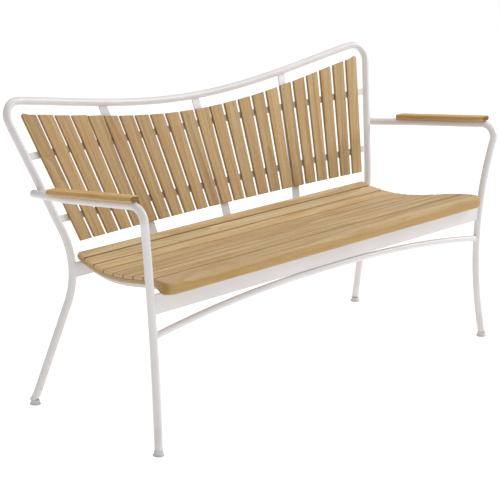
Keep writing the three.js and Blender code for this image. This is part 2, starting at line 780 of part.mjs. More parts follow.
addPair('foot_glide_front', glide(footAt(frontLegStations(), GLIDE_HEIGHT)), glidePlastic());
addPair('foot_glide_rear', glide(footAt(rearLegStations(), GLIDE_HEIGHT)), glidePlastic());
addPair('armrest', armrest(), armTeak());

for (let i = 0; i < BACK_SLATS; i += 1) {
  add(`back_slat_${twoDigits(i + 1)}`, backSlat(i), backTeak());
}

for (let i = 0; i < SEAT_SLATS; i += 1) {
  add(`seat_slat_${twoDigits(i + 1)}`, seatSlat(i), seatTeak());
}
add('seat_slat_front', frontSeatSlat(), seatTeak());

// The footprint's middle goes to the origin.
const footprint = new THREE.Box3().setFromObject(bench).getCenter(new THREE.Vector3());
for (const mesh of bench.children) {
  mesh.geometry.translate(-footprint.x, -footprint.y, 0);
}

export default bench;
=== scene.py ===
import math
import random

import bmesh
import bpy
import numpy as np
from mathutils import Matrix, Vector


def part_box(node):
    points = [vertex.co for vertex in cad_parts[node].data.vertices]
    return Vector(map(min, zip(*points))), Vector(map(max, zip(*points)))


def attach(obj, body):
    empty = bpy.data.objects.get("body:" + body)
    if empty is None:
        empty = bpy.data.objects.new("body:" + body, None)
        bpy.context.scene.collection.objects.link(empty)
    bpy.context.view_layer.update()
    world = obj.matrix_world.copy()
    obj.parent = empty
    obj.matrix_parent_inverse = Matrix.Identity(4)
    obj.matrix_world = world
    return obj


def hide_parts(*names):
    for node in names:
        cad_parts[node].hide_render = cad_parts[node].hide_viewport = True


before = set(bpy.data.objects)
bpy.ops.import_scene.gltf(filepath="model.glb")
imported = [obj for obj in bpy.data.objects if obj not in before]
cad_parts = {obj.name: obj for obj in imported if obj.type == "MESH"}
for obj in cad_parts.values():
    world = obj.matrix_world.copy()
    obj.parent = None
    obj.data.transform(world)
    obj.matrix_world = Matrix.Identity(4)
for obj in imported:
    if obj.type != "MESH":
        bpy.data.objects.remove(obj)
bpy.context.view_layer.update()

# The looks of a garden bench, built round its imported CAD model. Sizes below are in millimetres,
# in the CAD source's own frame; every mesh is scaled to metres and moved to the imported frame.

MM = 0.001
APRON_Y = -258.0                     # where the CAD source puts the front apron
REAR_APRON_Y = 136.0
REAR_APRON_THICKNESS = 6.0
low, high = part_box("front_apron")
SHIFT_Y = (low.y + high.y) / 2 / MM - APRON_Y

TUBE_RADIUS = 11.0
STRETCHER_RADIUS = 9.0
TUBE_SIDES = 36
CLEARANCE = 0.3
GLIDE_HEIGHT = 14.0

FRONT_FOOT = Vector((695, -288, 0))
FRONT_LEG_SWEEP_LOW = Vector((669, -253, 210))
FRONT_LEG_SWEEP_HIGH = Vector((681, -247, 420))
FRONT_LEG_TOP = Vector((726.5, -273.5, 628))
ARM_CORNER = Vector((728.5, -272, 670))
ARM_KINK = Vector((721, 50, 630))
ARM_TIP = Vector((693.5, 199, 612.5))
ARM_BEND_RADIUS = 40
ARM_KINK_RADIUS = 420
REAR_FOOT = Vector((686.5, 232, 0))
REAR_KNEE = Vector((605, 118.5, 407))
REAR_KNEE_RADIUS = 278
POST_CORNER = Vector((749, 272, 861.5))
POST_CORNER_RADIUS = 45
RAIL_TAIL = 14

BACK_SLATS = 23
PITCH_TOP = 60.1
PITCH_BOTTOM = 51.5
BACK_GAP = 11
BACK_THICKNESS = 8
BACK_BOTTOM_Z = 475
BAR_GAP = 1.3
BAR_THICKNESS = 4
BAR_HEIGHT = 20
STRAP_THICKNESS = 4
STRAP_WIDTH = 30
STRAP_TOP_PLACE = 6.06
STRAP_BOTTOM_PLACE = 5.97
STRAP_GAP = 1
STRAP_LAP_Z = 398
STRAP_FOOT_Z = 384
SIDES = {"left": -1, "middle": 0, "right": 1}

SEAT_REAR_Y = 139.5
SEAT_GROOVE_Y = -221
SEAT_PROFILE = [(139.5, 443), (109, 432.6), (14, 422), (-83, 431), (-177, 449.5), (-221, 456)]
SEAT_SLATS = 8
SEAT_PITCH = 47.1
SEAT_GAP = 3
SEAT_THICKNESS = 20
SEAT_SLAT_THICKNESS = 9
BEARER_WIDTH = 24
BEARER_GAP = 0.6
NOSE_FRONT_Y = -295
NOSE_TOP = (-266, 458.5)
NOSE_MIDDLE = (-295, 442.5)
NOSE_BOTTOM = (-284, 425.5)

rng = random.Random(380)


# ------------------------------------------------------------ lines of the frame

def mirrored(points, side):
    return [Vector((side * p.x, p.y, p.z)) for p in points]


def bend(before, corner, after, radius, steps=20):
    """Points of the arc that rounds the corner between two straight runs."""
    incoming = (corner - before).normalized()
    outgoing = (after - corner).normalized()
    turn = incoming.angle(outgoing)
    start = corner - incoming * radius * math.tan(turn / 2)
    axis = incoming.cross(outgoing).normalized()
    centre = start + axis.cross(incoming) * radius
    spoke = start - centre
    return [centre + Matrix.Rotation(turn * i / steps, 3, axis) @ spoke for i in range(steps + 1)]


def straight(start, end, steps):
    return [start.lerp(end, i / steps) for i in range(steps + 1)]


def bezier(a, b, c, d, steps):
    points = []
    for i in range(steps + 1):
        t = i / steps
        s = 1 - t
        points.append(a * s ** 3 + b * 3 * s * s * t + c * 3 * s * t * t + d * t ** 3)
    return points


def front_leg_line(side):
    leg = bezier(FRONT_FOOT, FRONT_LEG_SWEEP_LOW, FRONT_LEG_SWEEP_HIGH, FRONT_LEG_TOP, 48)
    corner = bend(FRONT_LEG_TOP, ARM_CORNER, ARM_KINK, ARM_BEND_RADIUS)
    kink = bend(ARM_CORNER, ARM_KINK, ARM_TIP, ARM_KINK_RADIUS)
    arm = straight(corner[-1], kink[0], 12)[1:-1]
    return mirrored(leg[:-1] + corner + arm + kink + [ARM_TIP], side)


def rail_point(x):
    z = 776 + 55.7 * (1 - math.cos(math.pi * x / 1092))
    return Vector((x, 296 - 18 * (x / 687) ** 2, z))


def toward(start, end, distance):
    return start + (end - start).normalized() * distance


RAIL_BEND = bend(REAR_KNEE, POST_CORNER, rail_point(600), POST_CORNER_RADIUS)
POST_TOP = toward(RAIL_BEND[0], REAR_KNEE, RAIL_TAIL)


def rear_leg_line(side):
    knee = bend(REAR_FOOT, REAR_KNEE, POST_CORNER, REAR_KNEE_RADIUS, 28)
    end = toward(POST_TOP, REAR_KNEE, CLEARANCE)
    line = straight(REAR_FOOT, knee[0], 10)[:-1] + knee + straight(knee[-1], end, 14)[1:]
    return mirrored(line, side)


def rail_line():
    half = [POST_TOP] + RAIL_BEND + [rail_point(RAIL_BEND[-1].x * i / 60) for i in range(59, -1, -1)]
    return half + mirrored(half[-2::-1], -1)


# ------------------------------------------------------------ surfaces of the back and seat

def back_bottom(place):
    x = place * PITCH_BOTTOM
    return Vector((x, 152 - 21.5 * (x / (BACK_SLATS * PITCH_BOTTOM / 2)) ** 2, BACK_BOTTOM_Z))


def back_top(place):
    x = place * PITCH_TOP
    z = rail_point(x).z - 33.5
    return Vector((x, 264 - 12 * (x / (BACK_SLATS * PITCH_TOP / 2)) ** 2, z))


def back_surface(place, z):
    """The point of the back's front face at a place and height, and the normal there, pointing backwards."""
    bottom = back_bottom(place)
    up = back_top(place) - bottom
    point = bottom + up * ((z - bottom.z) / up.z)
    across = back_bottom(place + 0.5) - back_bottom(place - 0.5)
    across += back_top(place + 0.5) - back_top(place - 0.5)
    across.z = 0
    return point, up.cross(across).normalized()


def place_at(x, z):
    place = x / PITCH_TOP
    for _ in range(8):
        place += (x - back_surface(place, z)[0].x) / PITCH_BOTTOM
    return place


def seat_end_x(y):
    return 593.5 + 0.155 * (SEAT_REAR_Y - y)


def spline(t):
    """The seat's side profile, as a uniform Catmull-Rom curve through its points."""
    place = t * (len(SEAT_PROFILE) - 1)
    i = min(int(place), len(SEAT_PROFILE) - 2)
    f = place - i
    p0 = SEAT_PROFILE[max(i - 1, 0)]
    p1, p2 = SEAT_PROFILE[i], SEAT_PROFILE[i + 1]
    p3 = SEAT_PROFILE[min(i + 2, len(SEAT_PROFILE) - 1)]
    out = []
    for a, b, c, d in zip(p0, p1, p2, p3):
        v0, v1 = (c - a) / 2, (d - b) / 2
        out.append((2 * b - 2 * c + v0 + v1) * f ** 3 + (-3 * b + 3 * c - 2 * v0 - v1) * f * f + v0 * f + b)
    return out


def seat_height(y):
    behind, ahead = 0.0, 1.0
    for _ in range(30):
        middle = (behind + ahead) / 2
        if spline(middle)[0] > y:
            behind = middle
        else:
            ahead = middle
    return spline(behind)[1]


GROOVES = [Vector((0, SEAT_REAR_Y, seat_height(SEAT_REAR_Y)))]
for groove in range(SEAT_SLATS - 1, -1, -1):
    groove_y = SEAT_GROOVE_Y + groove * SEAT_PITCH
    GROOVES.append(Vector((0, groove_y, seat_height(groove_y))))


def slat_section(index):
    """Rear top corner, forward direction, downward direction and width of a seat slat in side view."""
    rear, front = GROOVES[index], GROOVES[index + 1]
    run = (front - rear).normalized()
    down = Vector((0, run.z, -run.y)) * -1
    if down.z > 0:
        down = -down
    return rear + run * SEAT_GAP / 2, run, down, (front - rear).length - SEAT_GAP


# ------------------------------------------------------------ mesh code

class Mesh:
    """Vertices in millimetres and faces, gathered before they become a Blender object."""

    def __init__(self):
        self.verts = []
        self.faces = []
        self.grain = []
        self.stain_and_shade = []

    def add(self, verts, faces, grain=None):
        start = len(self.verts)
        self.verts += [Vector(v) for v in verts]
        self.faces += [tuple(start + i for i in face) for face in faces]
        self.grain += list(grain) if grain else [Vector(v) for v in verts]
        return self


def bridge(rings, count, closed=True):
    """Faces between rings of count vertices each, numbered ring by ring."""
    faces = []
    spans = count if closed else count - 1
    for r in range(rings - 1):
        for i in range(spans):
            j = (i + 1) % count
            faces.append((r * count + i, r * count + j, (r + 1) * count + j, (r + 1) * count + i))
    return faces


def end_faces(count, rings):
    """Faces across the first and last ring, where a ring runs along one side and back along the other."""
    faces = []
    for base in (0, (rings - 1) * count):
        for i in range(count // 2 - 1):
            faces.append((base + i, base + i + 1, base + count - 2 - i, base + count - 1 - i))
    return faces


def tangents(points, closed=False):
    out = []
    n = len(points)
    for i in range(n):
        before = points[(i - 1) % n] if closed or i > 0 else points[0]
        after = points[(i + 1) % n] if closed or i < n - 1 else points[-1]
        out.append((after - before).normalized())
    return out


def sweep(points, radius, sides=TUBE_SIDES, closed=False):
    """Vertices and faces of a round bar along points. Radius is a number or a function of (ring, side)."""
    along = tangents(points, closed)
    normal = along[0].orthogonal().normalized()
    verts = []
    for r, (point, tangent) in enumerate(zip(points, along)):
        if r:
            turn = along[r - 1].rotation_difference(tangent)
            normal = (turn @ normal).normalized()
        normal = (normal - tangent * normal.dot(tangent)).normalized()
        side = tangent.cross(normal)
        for i in range(sides):
            a = 2 * math.pi * i / sides
            reach = radius(r, i) if callable(radius) else radius
            verts.append(point + (normal * math.cos(a) + side * math.sin(a)) * reach)
    n = len(points)
    faces = bridge(n, sides)
    if closed:
        # The normals have turned on the way round, so the last ring meets the first at its nearest vertex.
        last = (n - 1) * sides
        near = min(range(sides), key=lambda k: (verts[last] - verts[k]).length)
        for i in range(sides):
            j = (i + 1) % sides
            faces.append((last + i, last + j, (near + j) % sides, (near + i) % sides))
    else:
        faces.append(tuple(range(sides))[::-1])
        faces.append(tuple(range((n - 1) * sides, n * sides)))
    return verts, faces


def turned(profile, centre, axis, sides=40):
    """A turned solid: profile is (radius, height) from the bottom's middle to the top's middle."""
    axis = axis.normalized()
    normal = axis.orthogonal().normalized()
    side = axis.cross(normal)
    inner = [p for p in profile if p[0] > 0]
    verts = []
    for radius, height in inner:
        for i in range(sides):
            a = 2 * math.pi * i / sides
            verts.append(centre + axis * height + (normal * math.cos(a) + side * math.sin(a)) * radius)
    faces = bridge(len(inner), sides)
    low_end, high_end = len(verts), len(verts) + 1
    verts += [centre + axis * profile[0][1], centre + axis * profile[-1][1]]
    top = (len(inner) - 1) * sides
    for i in range(sides):
        j = (i + 1) % sides
        faces.append((low_end, j, i))
        faces.append((high_end, top + i, top + j))
    return verts, faces


def distance_to_line(point, line):
    best = 1e9
    for a, b in zip(line, line[1:]):
        run = b - a
        t = max(0.0, min(1.0, (point - a).dot(run) / run.length_squared))
        best = min(best, (a + run * t - point).length)
    return best


def meet(start, direction, reach, line, radius):
    """How far along direction a point can go before it is radius away from a tube's centreline."""
    near, far = 0.0, reach
    for _ in range(40):
        middle = (near + far) / 2
        if distance_to_line(start + direction * middle, line) > radius:
            near = middle
        else:
            far = middle
    return near


def quarter(radius, steps=4):
    """(distance from the edge, drop) pairs round a quarter circle, from the edge inwards."""
    out = []
    for i in range(steps + 1):
        a = math.pi / 2 * i / steps
        out.append((radius * (1 - math.cos(a)), radius * (1 - math.sin(a))))
    return out


SUPPORT = 0.6     # an extra line of vertices beside each rounding keeps the flat faces flat


def across_samples(top_radius, bottom_radius=None, middle=(-0.5, 0, 0.5), steps=4):
    """Samples across a board: share of the half width, then the offset and drop of the top face there,
    and the offset and rise of the bottom face. The middle samples share out the flat between the edges."""
    bottom_radius = top_radius if bottom_radius is None else bottom_radius
    tops, bottoms = quarter(top_radius, steps), quarter(bottom_radius, steps)
    left = [(-1, *top, *bottom) for top, bottom in zip(tops, bottoms)]
    wide = max(top_radius, bottom_radius) + SUPPORT
    left.append((-1, wide, 0, wide, 0))
    inner = [(f, -f * wide, 0, -f * wide, 0) for f in middle]
    right = [(1, -a, b, -c, d) for _, a, b, c, d in reversed(left)]
    return left + inner + right


def end_stations(length, radius, body, steps=4):
    """Stations along a board: (distance from its start, inset of the section) with both ends rounded."""
    start = [(0, radius + SUPPORT)] + quarter(radius, steps) + [(radius + SUPPORT, 0)]
    inner = [(length * f, 0) for f in body]
    finish = [(length - p, inset) for p, inset in reversed(start)]
    return start + inner + finish


def board(samples, stations, half_width, thickness, place):
    """A solid board. place(u, depth, v) gives the point at u across, depth below the face and v along.
    half_width(v) and thickness are in millimetres."""
    rings, grain = [], []
    count = 2 * len(samples)
    for v, inset in stations:
        w = half_width(v)
        squeeze = 1 - inset / w
        flat = 1 - 2 * inset / thickness
        tops, bottoms = [], []
        for f, top_in, drop, bottom_in, rise in samples:
            for into, depth, out in ((top_in, drop, tops), (bottom_in, thickness - rise, bottoms)):
                u = (f * w + into) * squeeze
                d = thickness / 2 + (depth - thickness / 2) * flat
                out.append((place(u, d, v), Vector((u, v, d))))
        ring = tops + bottoms[::-1]
        rings += [p for p, _ in ring]
        grain += [g for _, g in ring]
    return rings, bridge(len(stations), count) + end_faces(count, len(stations)), grain


def write_attribute(mesh, name, kind, values):
    attribute = mesh.attributes.new(name, kind, "POINT")
    attribute.data.foreach_set("vector" if kind == "FLOAT_VECTOR" else "color", np.ravel(values).astype(np.float32))


def build(name, shape, material, nodes=(), sharp=40):
    """The Blender object of a shape, in metres, riding on the bench and standing for its CAD nodes."""
    mesh = bpy.data.meshes.new(name)
    points = [((v.x) * MM, (v.y + SHIFT_Y) * MM, v.z * MM) for v in shape.verts]
    mesh.from_pydata(points, [], shape.faces)
    mesh.validate()
    mesh.update()
    outward(mesh)
    mesh.polygons.foreach_set("use_smooth", [True] * len(mesh.polygons))
    mesh.set_sharp_from_angle(angle=math.radians(sharp))
    piece = bpy.data.objects.new(name, mesh)
    bpy.context.scene.collection.objects.link(piece)
    mesh.materials.append(material)
    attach(piece, "root")
    if nodes:
        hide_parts(*nodes)
    return piece


def outward(mesh):
    """Turns the faces outward, as a whole, if the mesh encloses a negative volume."""
    bm = bmesh.new()
    bm.from_mesh(mesh)
    bmesh.ops.recalc_face_normals(bm, faces=bm.faces)
    bm.to_mesh(mesh)
    bm.free()
    mesh.update()


def wooden(name, shape, axes, material, nodes, tone, groove=0.3):
    """A board with the data its material reads: where each point lies in the log, how the face is cut,
    and how much painted shade its eased edges and its long sides get, up to groove."""
    piece = build(name, shape, material, nodes, sharp=50)
    mesh = piece.data
    offset = Vector((rng.uniform(-60, 60), rng.uniform(0, 4000), rng.uniform(40, 160)))
    grain = [(g + offset) * MM for g in shape.grain]
    write_attribute(mesh, "grain", "FLOAT_VECTOR", [tuple(g) for g in grain])
    basis = np.array([tuple(a.normalized()) for a in axes])
    normals = np.zeros(len(mesh.vertices) * 3)
    mesh.vertices.foreach_get("normal", normals)
    facing = np.abs(normals.reshape(-1, 3) @ basis.T)
    end = np.clip((facing[:, 1] - 0.45) / 0.4, 0, 1)
    # Painted shade: the eased edges and the long sides, which are the walls of the gaps, darken by up to groove, and
    # a board's own shade marks add to it.
    eased = np.clip((1 - facing.max(1)) / 0.28, 0, 1)
    side = np.clip((facing[:, 0] - 0.5) / 0.4, 0, 1)
    shade = groove * np.maximum(0.75 * eased, side * (1 - end))
    shade = np.maximum(shade, shape.stain_and_shade) if shape.stain_and_shade else shade
    cut = [(tone[0], tone[1], a, b) for a, b in zip(end, shade)]
    write_attribute(mesh, "cut", "FLOAT_COLOR", cut)
    return piece


# ------------------------------------------------------------ materials

class Nodes:
    """A small helper to write node trees: each call makes a node, links its inputs and returns it."""

    def __init__(self, name):
        self.material = bpy.data.materials.new(name)
        self.material.use_nodes = True
        self.tree = self.material.node_tree
        self.shader = next(n for n in self.tree.nodes if n.type == "BSDF_PRINCIPLED")

    def link(self, source, target):
        self.tree.links.new(source, target)

    def node(self, kind, inputs=None, **settings):
        node = self.tree.nodes.new(kind)
        for key, value in settings.items():
            setattr(node, key, value)
        for key, value in (inputs or {}).items():
            socket = node.inputs[key]
            if isinstance(value, bpy.types.NodeSocket):
                self.link(value, socket)
            else:
                socket.default_value = value
        return node

    def math(self, operation, a, b=0.0, clamp=False):
        node = self.node("ShaderNodeMath", {0: a, 1: b}, operation=operation, use_clamp=clamp)
        return node.outputs[0]

    def scaled(self, vector, scale, offset=(0, 0, 0)):
        node = self.node("ShaderNodeMapping", {"Vector": vector, "Scale": scale, "Location": offset})
        return node.outputs[0]

    def noise(self, vector, scale=1.0, detail=2.0, roughness=0.5, distortion=0.0):
        inputs = {"Vector": vector, "Scale": scale, "Detail": detail, "Roughness": roughness}
        inputs["Distortion"] = distortion
        return self.node("ShaderNodeTexNoise", inputs).outputs["Fac"]

    def remap(self, value, low, high, to_low=0.0, to_high=1.0, smooth=True):
        inputs = {"Value": value, "From Min": low, "From Max": high, "To Min": to_low, "To Max": to_high}
        kind = "SMOOTHSTEP" if smooth else "LINEAR"
        return self.node("ShaderNodeMapRange", inputs, interpolation_type=kind).outputs[0]

    def mix(self, factor, a, b, blend="MIX"):
        node = self.node("ShaderNodeMix", data_type="RGBA", blend_type=blend)
        for key, value in ((0, factor), (6, a), (7, b)):
            if isinstance(value, bpy.types.NodeSocket):
                self.link(value, node.inputs[key])
            else:
                node.inputs[key].default_value = value
        return node.outputs[2]

    def bump(self, height, distance, strength, normal=None):
        inputs = {"Height": height, "Distance": distance, "Strength": strength}
        if normal is not None:
            inputs["Normal"] = normal
        return self.node("ShaderNodeBump", inputs).outputs[0]


def colour(r, g, b):
    return (r, g, b, 1.0)


def wood(name, light, middle, dark, end_grain, wear_and_shade=colour(0.19, 0.10, 0.03)):
    """Oiled teak: growth rings cut through in three dimensions, fibres, open pores, darker end grain,
    painted shade of the given shade colour on the eased edges and long sides, and its own tone on every board."""
    n = Nodes(name)
    grain = n.node("ShaderNodeAttribute", attribute_name="grain").outputs["Vector"]
    cut = n.node("ShaderNodeAttribute", attribute_name="cut")
    parts = n.node("ShaderNodeSeparateColor", {"Color": cut.outputs["Color"]}).outputs
    tone, hue, end, shaded = parts[0], parts[1], parts[2], cut.outputs["Alpha"]

    slow = n.node("ShaderNodeTexNoise", {"Vector": n.scaled(grain, (9, 1.1, 9)), "Scale": 1.0, "Detail": 2.0})
    push = n.node("ShaderNodeVectorMath", {0: slow.outputs["Color"], 1: (0.5, 0.5, 0.5)}, operation="SUBTRACT")
    push = n.node("ShaderNodeVectorMath", {0: push.outputs[0], "Scale": 0.045}, operation="SCALE").outputs[0]
    bent = n.node("ShaderNodeVectorMath", {0: grain, 1: push}, operation="ADD").outputs[0]

    rings = n.node(
        "ShaderNodeTexWave",
        {"Vector": n.scaled(bent, (1, 0.02, 1)), "Scale": 34.0, "Distortion": 2.2, "Detail": 2.0,
         "Detail Scale": 1.4, "Detail Roughness": 0.55},
        wave_type="RINGS", rings_direction="Y", wave_profile="SAW",
    ).outputs["Fac"]
    broad = n.noise(n.scaled(bent, (42, 1.6, 42)), detail=2.0)
    fibre = n.noise(n.scaled(grain, (700, 14, 700)), detail=3.0, roughness=0.6)
    streak = n.noise(n.scaled(bent, (170, 2.2, 170)), detail=2.0)
    pores = n.remap(n.noise(n.scaled(grain, (1500, 75, 1500)), detail=1.0), 0.60, 0.70)
    mineral = n.remap(n.noise(n.scaled(bent, (120, 1.0, 120), (3, 7, 1)), detail=1.0), 0.66, 0.78)

    figure = n.math("ADD", n.math("MULTIPLY", rings, 0.30), n.math("MULTIPLY", broad, 0.62))
    figure = n.math("ADD", figure, n.math("MULTIPLY", streak, 0.40))
    figure = n.math("ADD", figure, n.math("MULTIPLY", fibre, 0.22))
    figure = n.remap(figure, 0.42, 1.12, smooth=False)
    ramp = n.node("ShaderNodeValToRGB", {"Fac": figure})
    stops = ramp.color_ramp.elements
    stops[0].color, stops[0].position = light, 0.05
    stops[1].color, stops[1].position = dark, 0.95
    stops.new(0.45).color = middle
    surface = ramp.outputs[0]

    surface = n.mix(n.math("MULTIPLY", mineral, 0.35), surface, colour(0.27, 0.155, 0.07))
    surface = n.mix(n.math("MULTIPLY", pores, 0.38), surface, colour(0.20, 0.115, 0.05))
    blotch = n.remap(n.noise(n.scaled(bent, (30, 6.5, 30), (5, 2, 8)), detail=2.0), 0.50, 0.68)
    surface = n.mix(n.math("MULTIPLY", blotch, 0.34), surface, colour(0.43, 0.225, 0.068))
    # A board's own tone: brighter or darker, and between a grey-gold and a redder brown.
    shade = n.remap(tone, -1, 1, 0.88, 1.12, smooth=False)
    surface = n.mix(1.0, surface, n.node("ShaderNodeCombineColor", {0: shade, 1: shade, 2: shade}).outputs[0], "MULTIPLY")
    warm = n.mix(n.remap(hue, -1, 1, 0, 1, smooth=False), colour(0.97, 1.01, 1.02), colour(1.035, 1.0, 0.94))
    surface = n.mix(1.0, surface, warm, "MULTIPLY")
    # End grain drinks more oil; the eased edges and the sides of the gaps get painted shade.
    rays = n.noise(n.scaled(grain, (900, 900, 260)), detail=2.0)
    ends = n.mix(rays, end_grain, tuple(0.72 * c for c in end_grain[:3]) + (1.0,))
    surface = n.mix(n.math("MULTIPLY", end, 0.9), surface, ends)
    surface = n.mix(shaded, surface, wear_and_shade)
    n.link(surface, n.shader.inputs["Base Color"])

    rough = n.math("ADD", n.math("MULTIPLY", fibre, 0.22), n.math("MULTIPLY", pores, 0.12))
    rough = n.math("ADD", n.math("ADD", rough, 0.46), n.math("MULTIPLY", end, 0.14))
    n.link(rough, n.shader.inputs["Roughness"])
    n.shader.inputs["Specular IOR Level"].default_value = 0.36
    height = n.math("SUBTRACT", n.math("MULTIPLY", fibre, 0.55), n.math("MULTIPLY", pores, 0.9))
    height = n.math("ADD", height, n.math("MULTIPLY", streak, 0.35))
    height = n.math("ADD", height, n.math("MULTIPLY", n.math("MULTIPLY", rays, end), 0.8))
    n.link(n.bump(height, 0.0005, 0.45), n.shader.inputs["Normal"])
    return n.material


def powder_coat():
    """White powder coat on steel: a fine orange peel, with a trace of dust low down."""
    n = Nodes("powder_coat_white")
    place = n.node("ShaderNodeTexCoord").outputs["Object"]
    peel = n.noise(place, scale=420.0, detail=2.0, roughness=0.45)
    fine = n.noise(place, scale=1900.0, detail=1.0)
    cloud = n.noise(place, scale=7.0, detail=3.0)
    surface = n.mix(n.remap(cloud, 0.3, 0.7), colour(0.700, 0.672, 0.668), colour(0.742, 0.716, 0.712))
    speck = n.remap(n.noise(place, scale=240.0, detail=1.0), 0.73, 0.80)
    surface = n.mix(n.math("MULTIPLY", speck, 0.18), surface, colour(0.46, 0.44, 0.42))
    height = n.node("ShaderNodeSeparateXYZ", {"Vector": place}).outputs["Z"]
    low_down = n.remap(height, 0.16, 0.0)
    dust = n.math("MULTIPLY", low_down, n.remap(n.noise(place, scale=36.0, detail=4.0), 0.4, 0.75, 0.0, 0.4))
    surface = n.mix(dust, surface, colour(0.50, 0.47, 0.43))
    n.link(surface, n.shader.inputs["Base Color"])
    rough = n.math("ADD", n.remap(cloud, 0.3, 0.7, 0.30, 0.40), n.math("MULTIPLY", dust, 0.5))
    n.link(rough, n.shader.inputs["Roughness"])
    n.shader.inputs["Coat Weight"].default_value = 0.12
    n.shader.inputs["Coat Roughness"].default_value = 0.25
    relief = n.math("ADD", n.math("MULTIPLY", peel, 1.0), n.math("MULTIPLY", fine, 0.25))
    n.link(n.bump(relief, 0.00012, 0.22), n.shader.inputs["Normal"])
    return n.material


def glide_plastic():
    """Pale moulded polyethylene: a dull satin skin, scuffed grey where it stands on the ground."""
    n = Nodes("glide_plastic")
    place = n.node("ShaderNodeTexCoord").outputs["Object"]
    skin = n.noise(place, scale=900.0, detail=2.0)
    scuff = n.noise(n.scaled(place, (220, 220, 1400)), detail=4.0, roughness=0.65)
    height = n.node("ShaderNodeSeparateXYZ", {"Vector": place}).outputs["Z"]
    wear_and_shade = n.math("MULTIPLY", n.remap(height, 0.006, 0.0), n.remap(scuff, 0.42, 0.62))
    surface = n.mix(n.noise(place, scale=60.0), colour(0.58, 0.565, 0.55), colour(0.66, 0.645, 0.63))
    surface = n.mix(n.math("MULTIPLY", wear_and_shade, 0.75), surface, colour(0.26, 0.24, 0.22))
    n.link(surface, n.shader.inputs["Base Color"])
    n.link(n.math("ADD", n.math("MULTIPLY", wear_and_shade, 0.25), 0.48), n.shader.inputs["Roughness"])
    n.link(n.bump(n.math("ADD", skin, scuff), 0.0001, 0.3), n.shader.inputs["Normal"])
    return n.material


def stainless():
    """Turned stainless screws: bright metal with fine scratches and a dull stain here and there."""
    n = Nodes("stainless_screw")
    place = n.node("ShaderNodeTexCoord").outputs["Object"]
    scratch = n.noise(n.scaled(place, (2600, 900, 2600)), detail=3.0, roughness=0.7)
    stain_and_shade = n.remap(n.noise(place, scale=160.0, detail=2.0), 0.5, 0.75)
    surface = n.mix(stain_and_shade, colour(0.62, 0.61, 0.59), colour(0.42, 0.39, 0.35))
    n.link(surface, n.shader.inputs["Base Color"])
    n.shader.inputs["Metallic"].default_value = 1.0
    n.link(n.math("ADD", n.math("MULTIPLY", scratch, 0.25), 0.2), n.shader.inputs["Roughness"])
    n.link(n.bump(scratch, 0.00005, 0.25), n.shader.inputs["Normal"])
    return n.material


WHITE = powder_coat()
PLASTIC = glide_plastic()
STEEL = stainless()
BACK_TEAK = wood("teak_back_slats", colour(0.56, 0.40, 0.205), colour(0.47, 0.31, 0.14),
                 colour(0.335, 0.197, 0.072), colour(0.25, 0.145, 0.06))
SEAT_TEAK = wood("teak_seat_slats", colour(0.66, 0.50, 0.30), colour(0.58, 0.42, 0.23),
                 colour(0.43, 0.285, 0.13), colour(0.74, 0.515, 0.275))
# The front slat's shade colour is a golden brown: painted shade on the nose's front face, its rounded corner and its
# rear edge.
FRONT_TEAK = wood("teak_front_slat", colour(0.66, 0.50, 0.30), colour(0.58, 0.42, 0.23),
                  colour(0.43, 0.285, 0.13), colour(0.52, 0.37, 0.19), wear_and_shade=colour(0.37, 0.19, 0.02))
# The armrests' end grain is given very dark: darker end grain, with painted shade on their ends as well.
ARM_TEAK = wood("teak_armrests", colour(0.80, 0.545, 0.25), colour(0.69, 0.445, 0.178),
                colour(0.51, 0.297, 0.094), colour(0.19, 0.105, 0.03))


# ------------------------------------------------------------ tubes

def level_cut(verts, height):
    """Lays the lowest ring of a leg flat at a height."""
    for v in verts:
        v.z = max(v.z, height)


for side, word in ((1, "right"), (-1, "left")):
    line = front_leg_line(side)
    verts, faces = sweep(line, TUBE_RADIUS)
    level_cut(verts, GLIDE_HEIGHT + CLEARANCE)
    build("leg_and_arm_tube_" + word, Mesh().add(verts, faces), WHITE,
          ["front_leg_and_arm_" + word])
    line = rear_leg_line(side)
    verts, faces = sweep(line, TUBE_RADIUS)
    level_cut(verts, GLIDE_HEIGHT + CLEARANCE)
    build("rear_leg_and_post_tube_" + word, Mesh().add(verts, faces), WHITE,
          ["rear_leg_and_post_" + word])

build("top_rail_tube", Mesh().add(*sweep(rail_line(), TUBE_RADIUS)), WHITE, ["top_rail"])


def stretcher_line():
    points = []
    for i in range(81):
        s = i / 40 - 1
        points.append(Vector((668 * s, APRON_Y, 364.5 - 47.5 * abs(s) ** 2.2)))
    return points


def fitted_tube(points, radius, left_line, right_line):
    """A cross tube whose end rings are shaped to the legs it is welded between."""
    inside = [p for p in points
              if distance_to_line(p, left_line) > 2.6 * TUBE_RADIUS
              and distance_to_line(p, right_line) > 2.6 * TUBE_RADIUS]
    verts, faces = sweep(inside, radius)
    count = TUBE_SIDES
    for ring, line, way in ((0, left_line, inside[0] - inside[1]), (len(inside) - 1, right_line, inside[-1] - inside[-2])):
        way = way.normalized()
        for i in range(ring * count, (ring + 1) * count):
            verts[i] = verts[i] + way * meet(verts[i], way, 60, line, TUBE_RADIUS + CLEARANCE)
    return verts, faces


left_leg, right_leg = front_leg_line(-1), front_leg_line(1)
left_rear, right_rear = rear_leg_line(-1), rear_leg_line(1)
stretcher_verts, stretcher_faces = fitted_tube(stretcher_line(), STRETCHER_RADIUS, left_leg, right_leg)
build("front_stretcher_tube", Mesh().add(stretcher_verts, stretcher_faces), WHITE,
      ["front_stretcher"])


# ------------------------------------------------------------ flat steel

def bar_ring(samples, half_height, thickness):
    """The outline of a bar's section: (height from its middle, depth behind its front face)."""
    front = [(f * half_height + into, drop) for f, into, drop, _, _ in samples]
    back = [(f * half_height + into, thickness - rise) for f, _, _, into, rise in reversed(samples)]
    return front + back


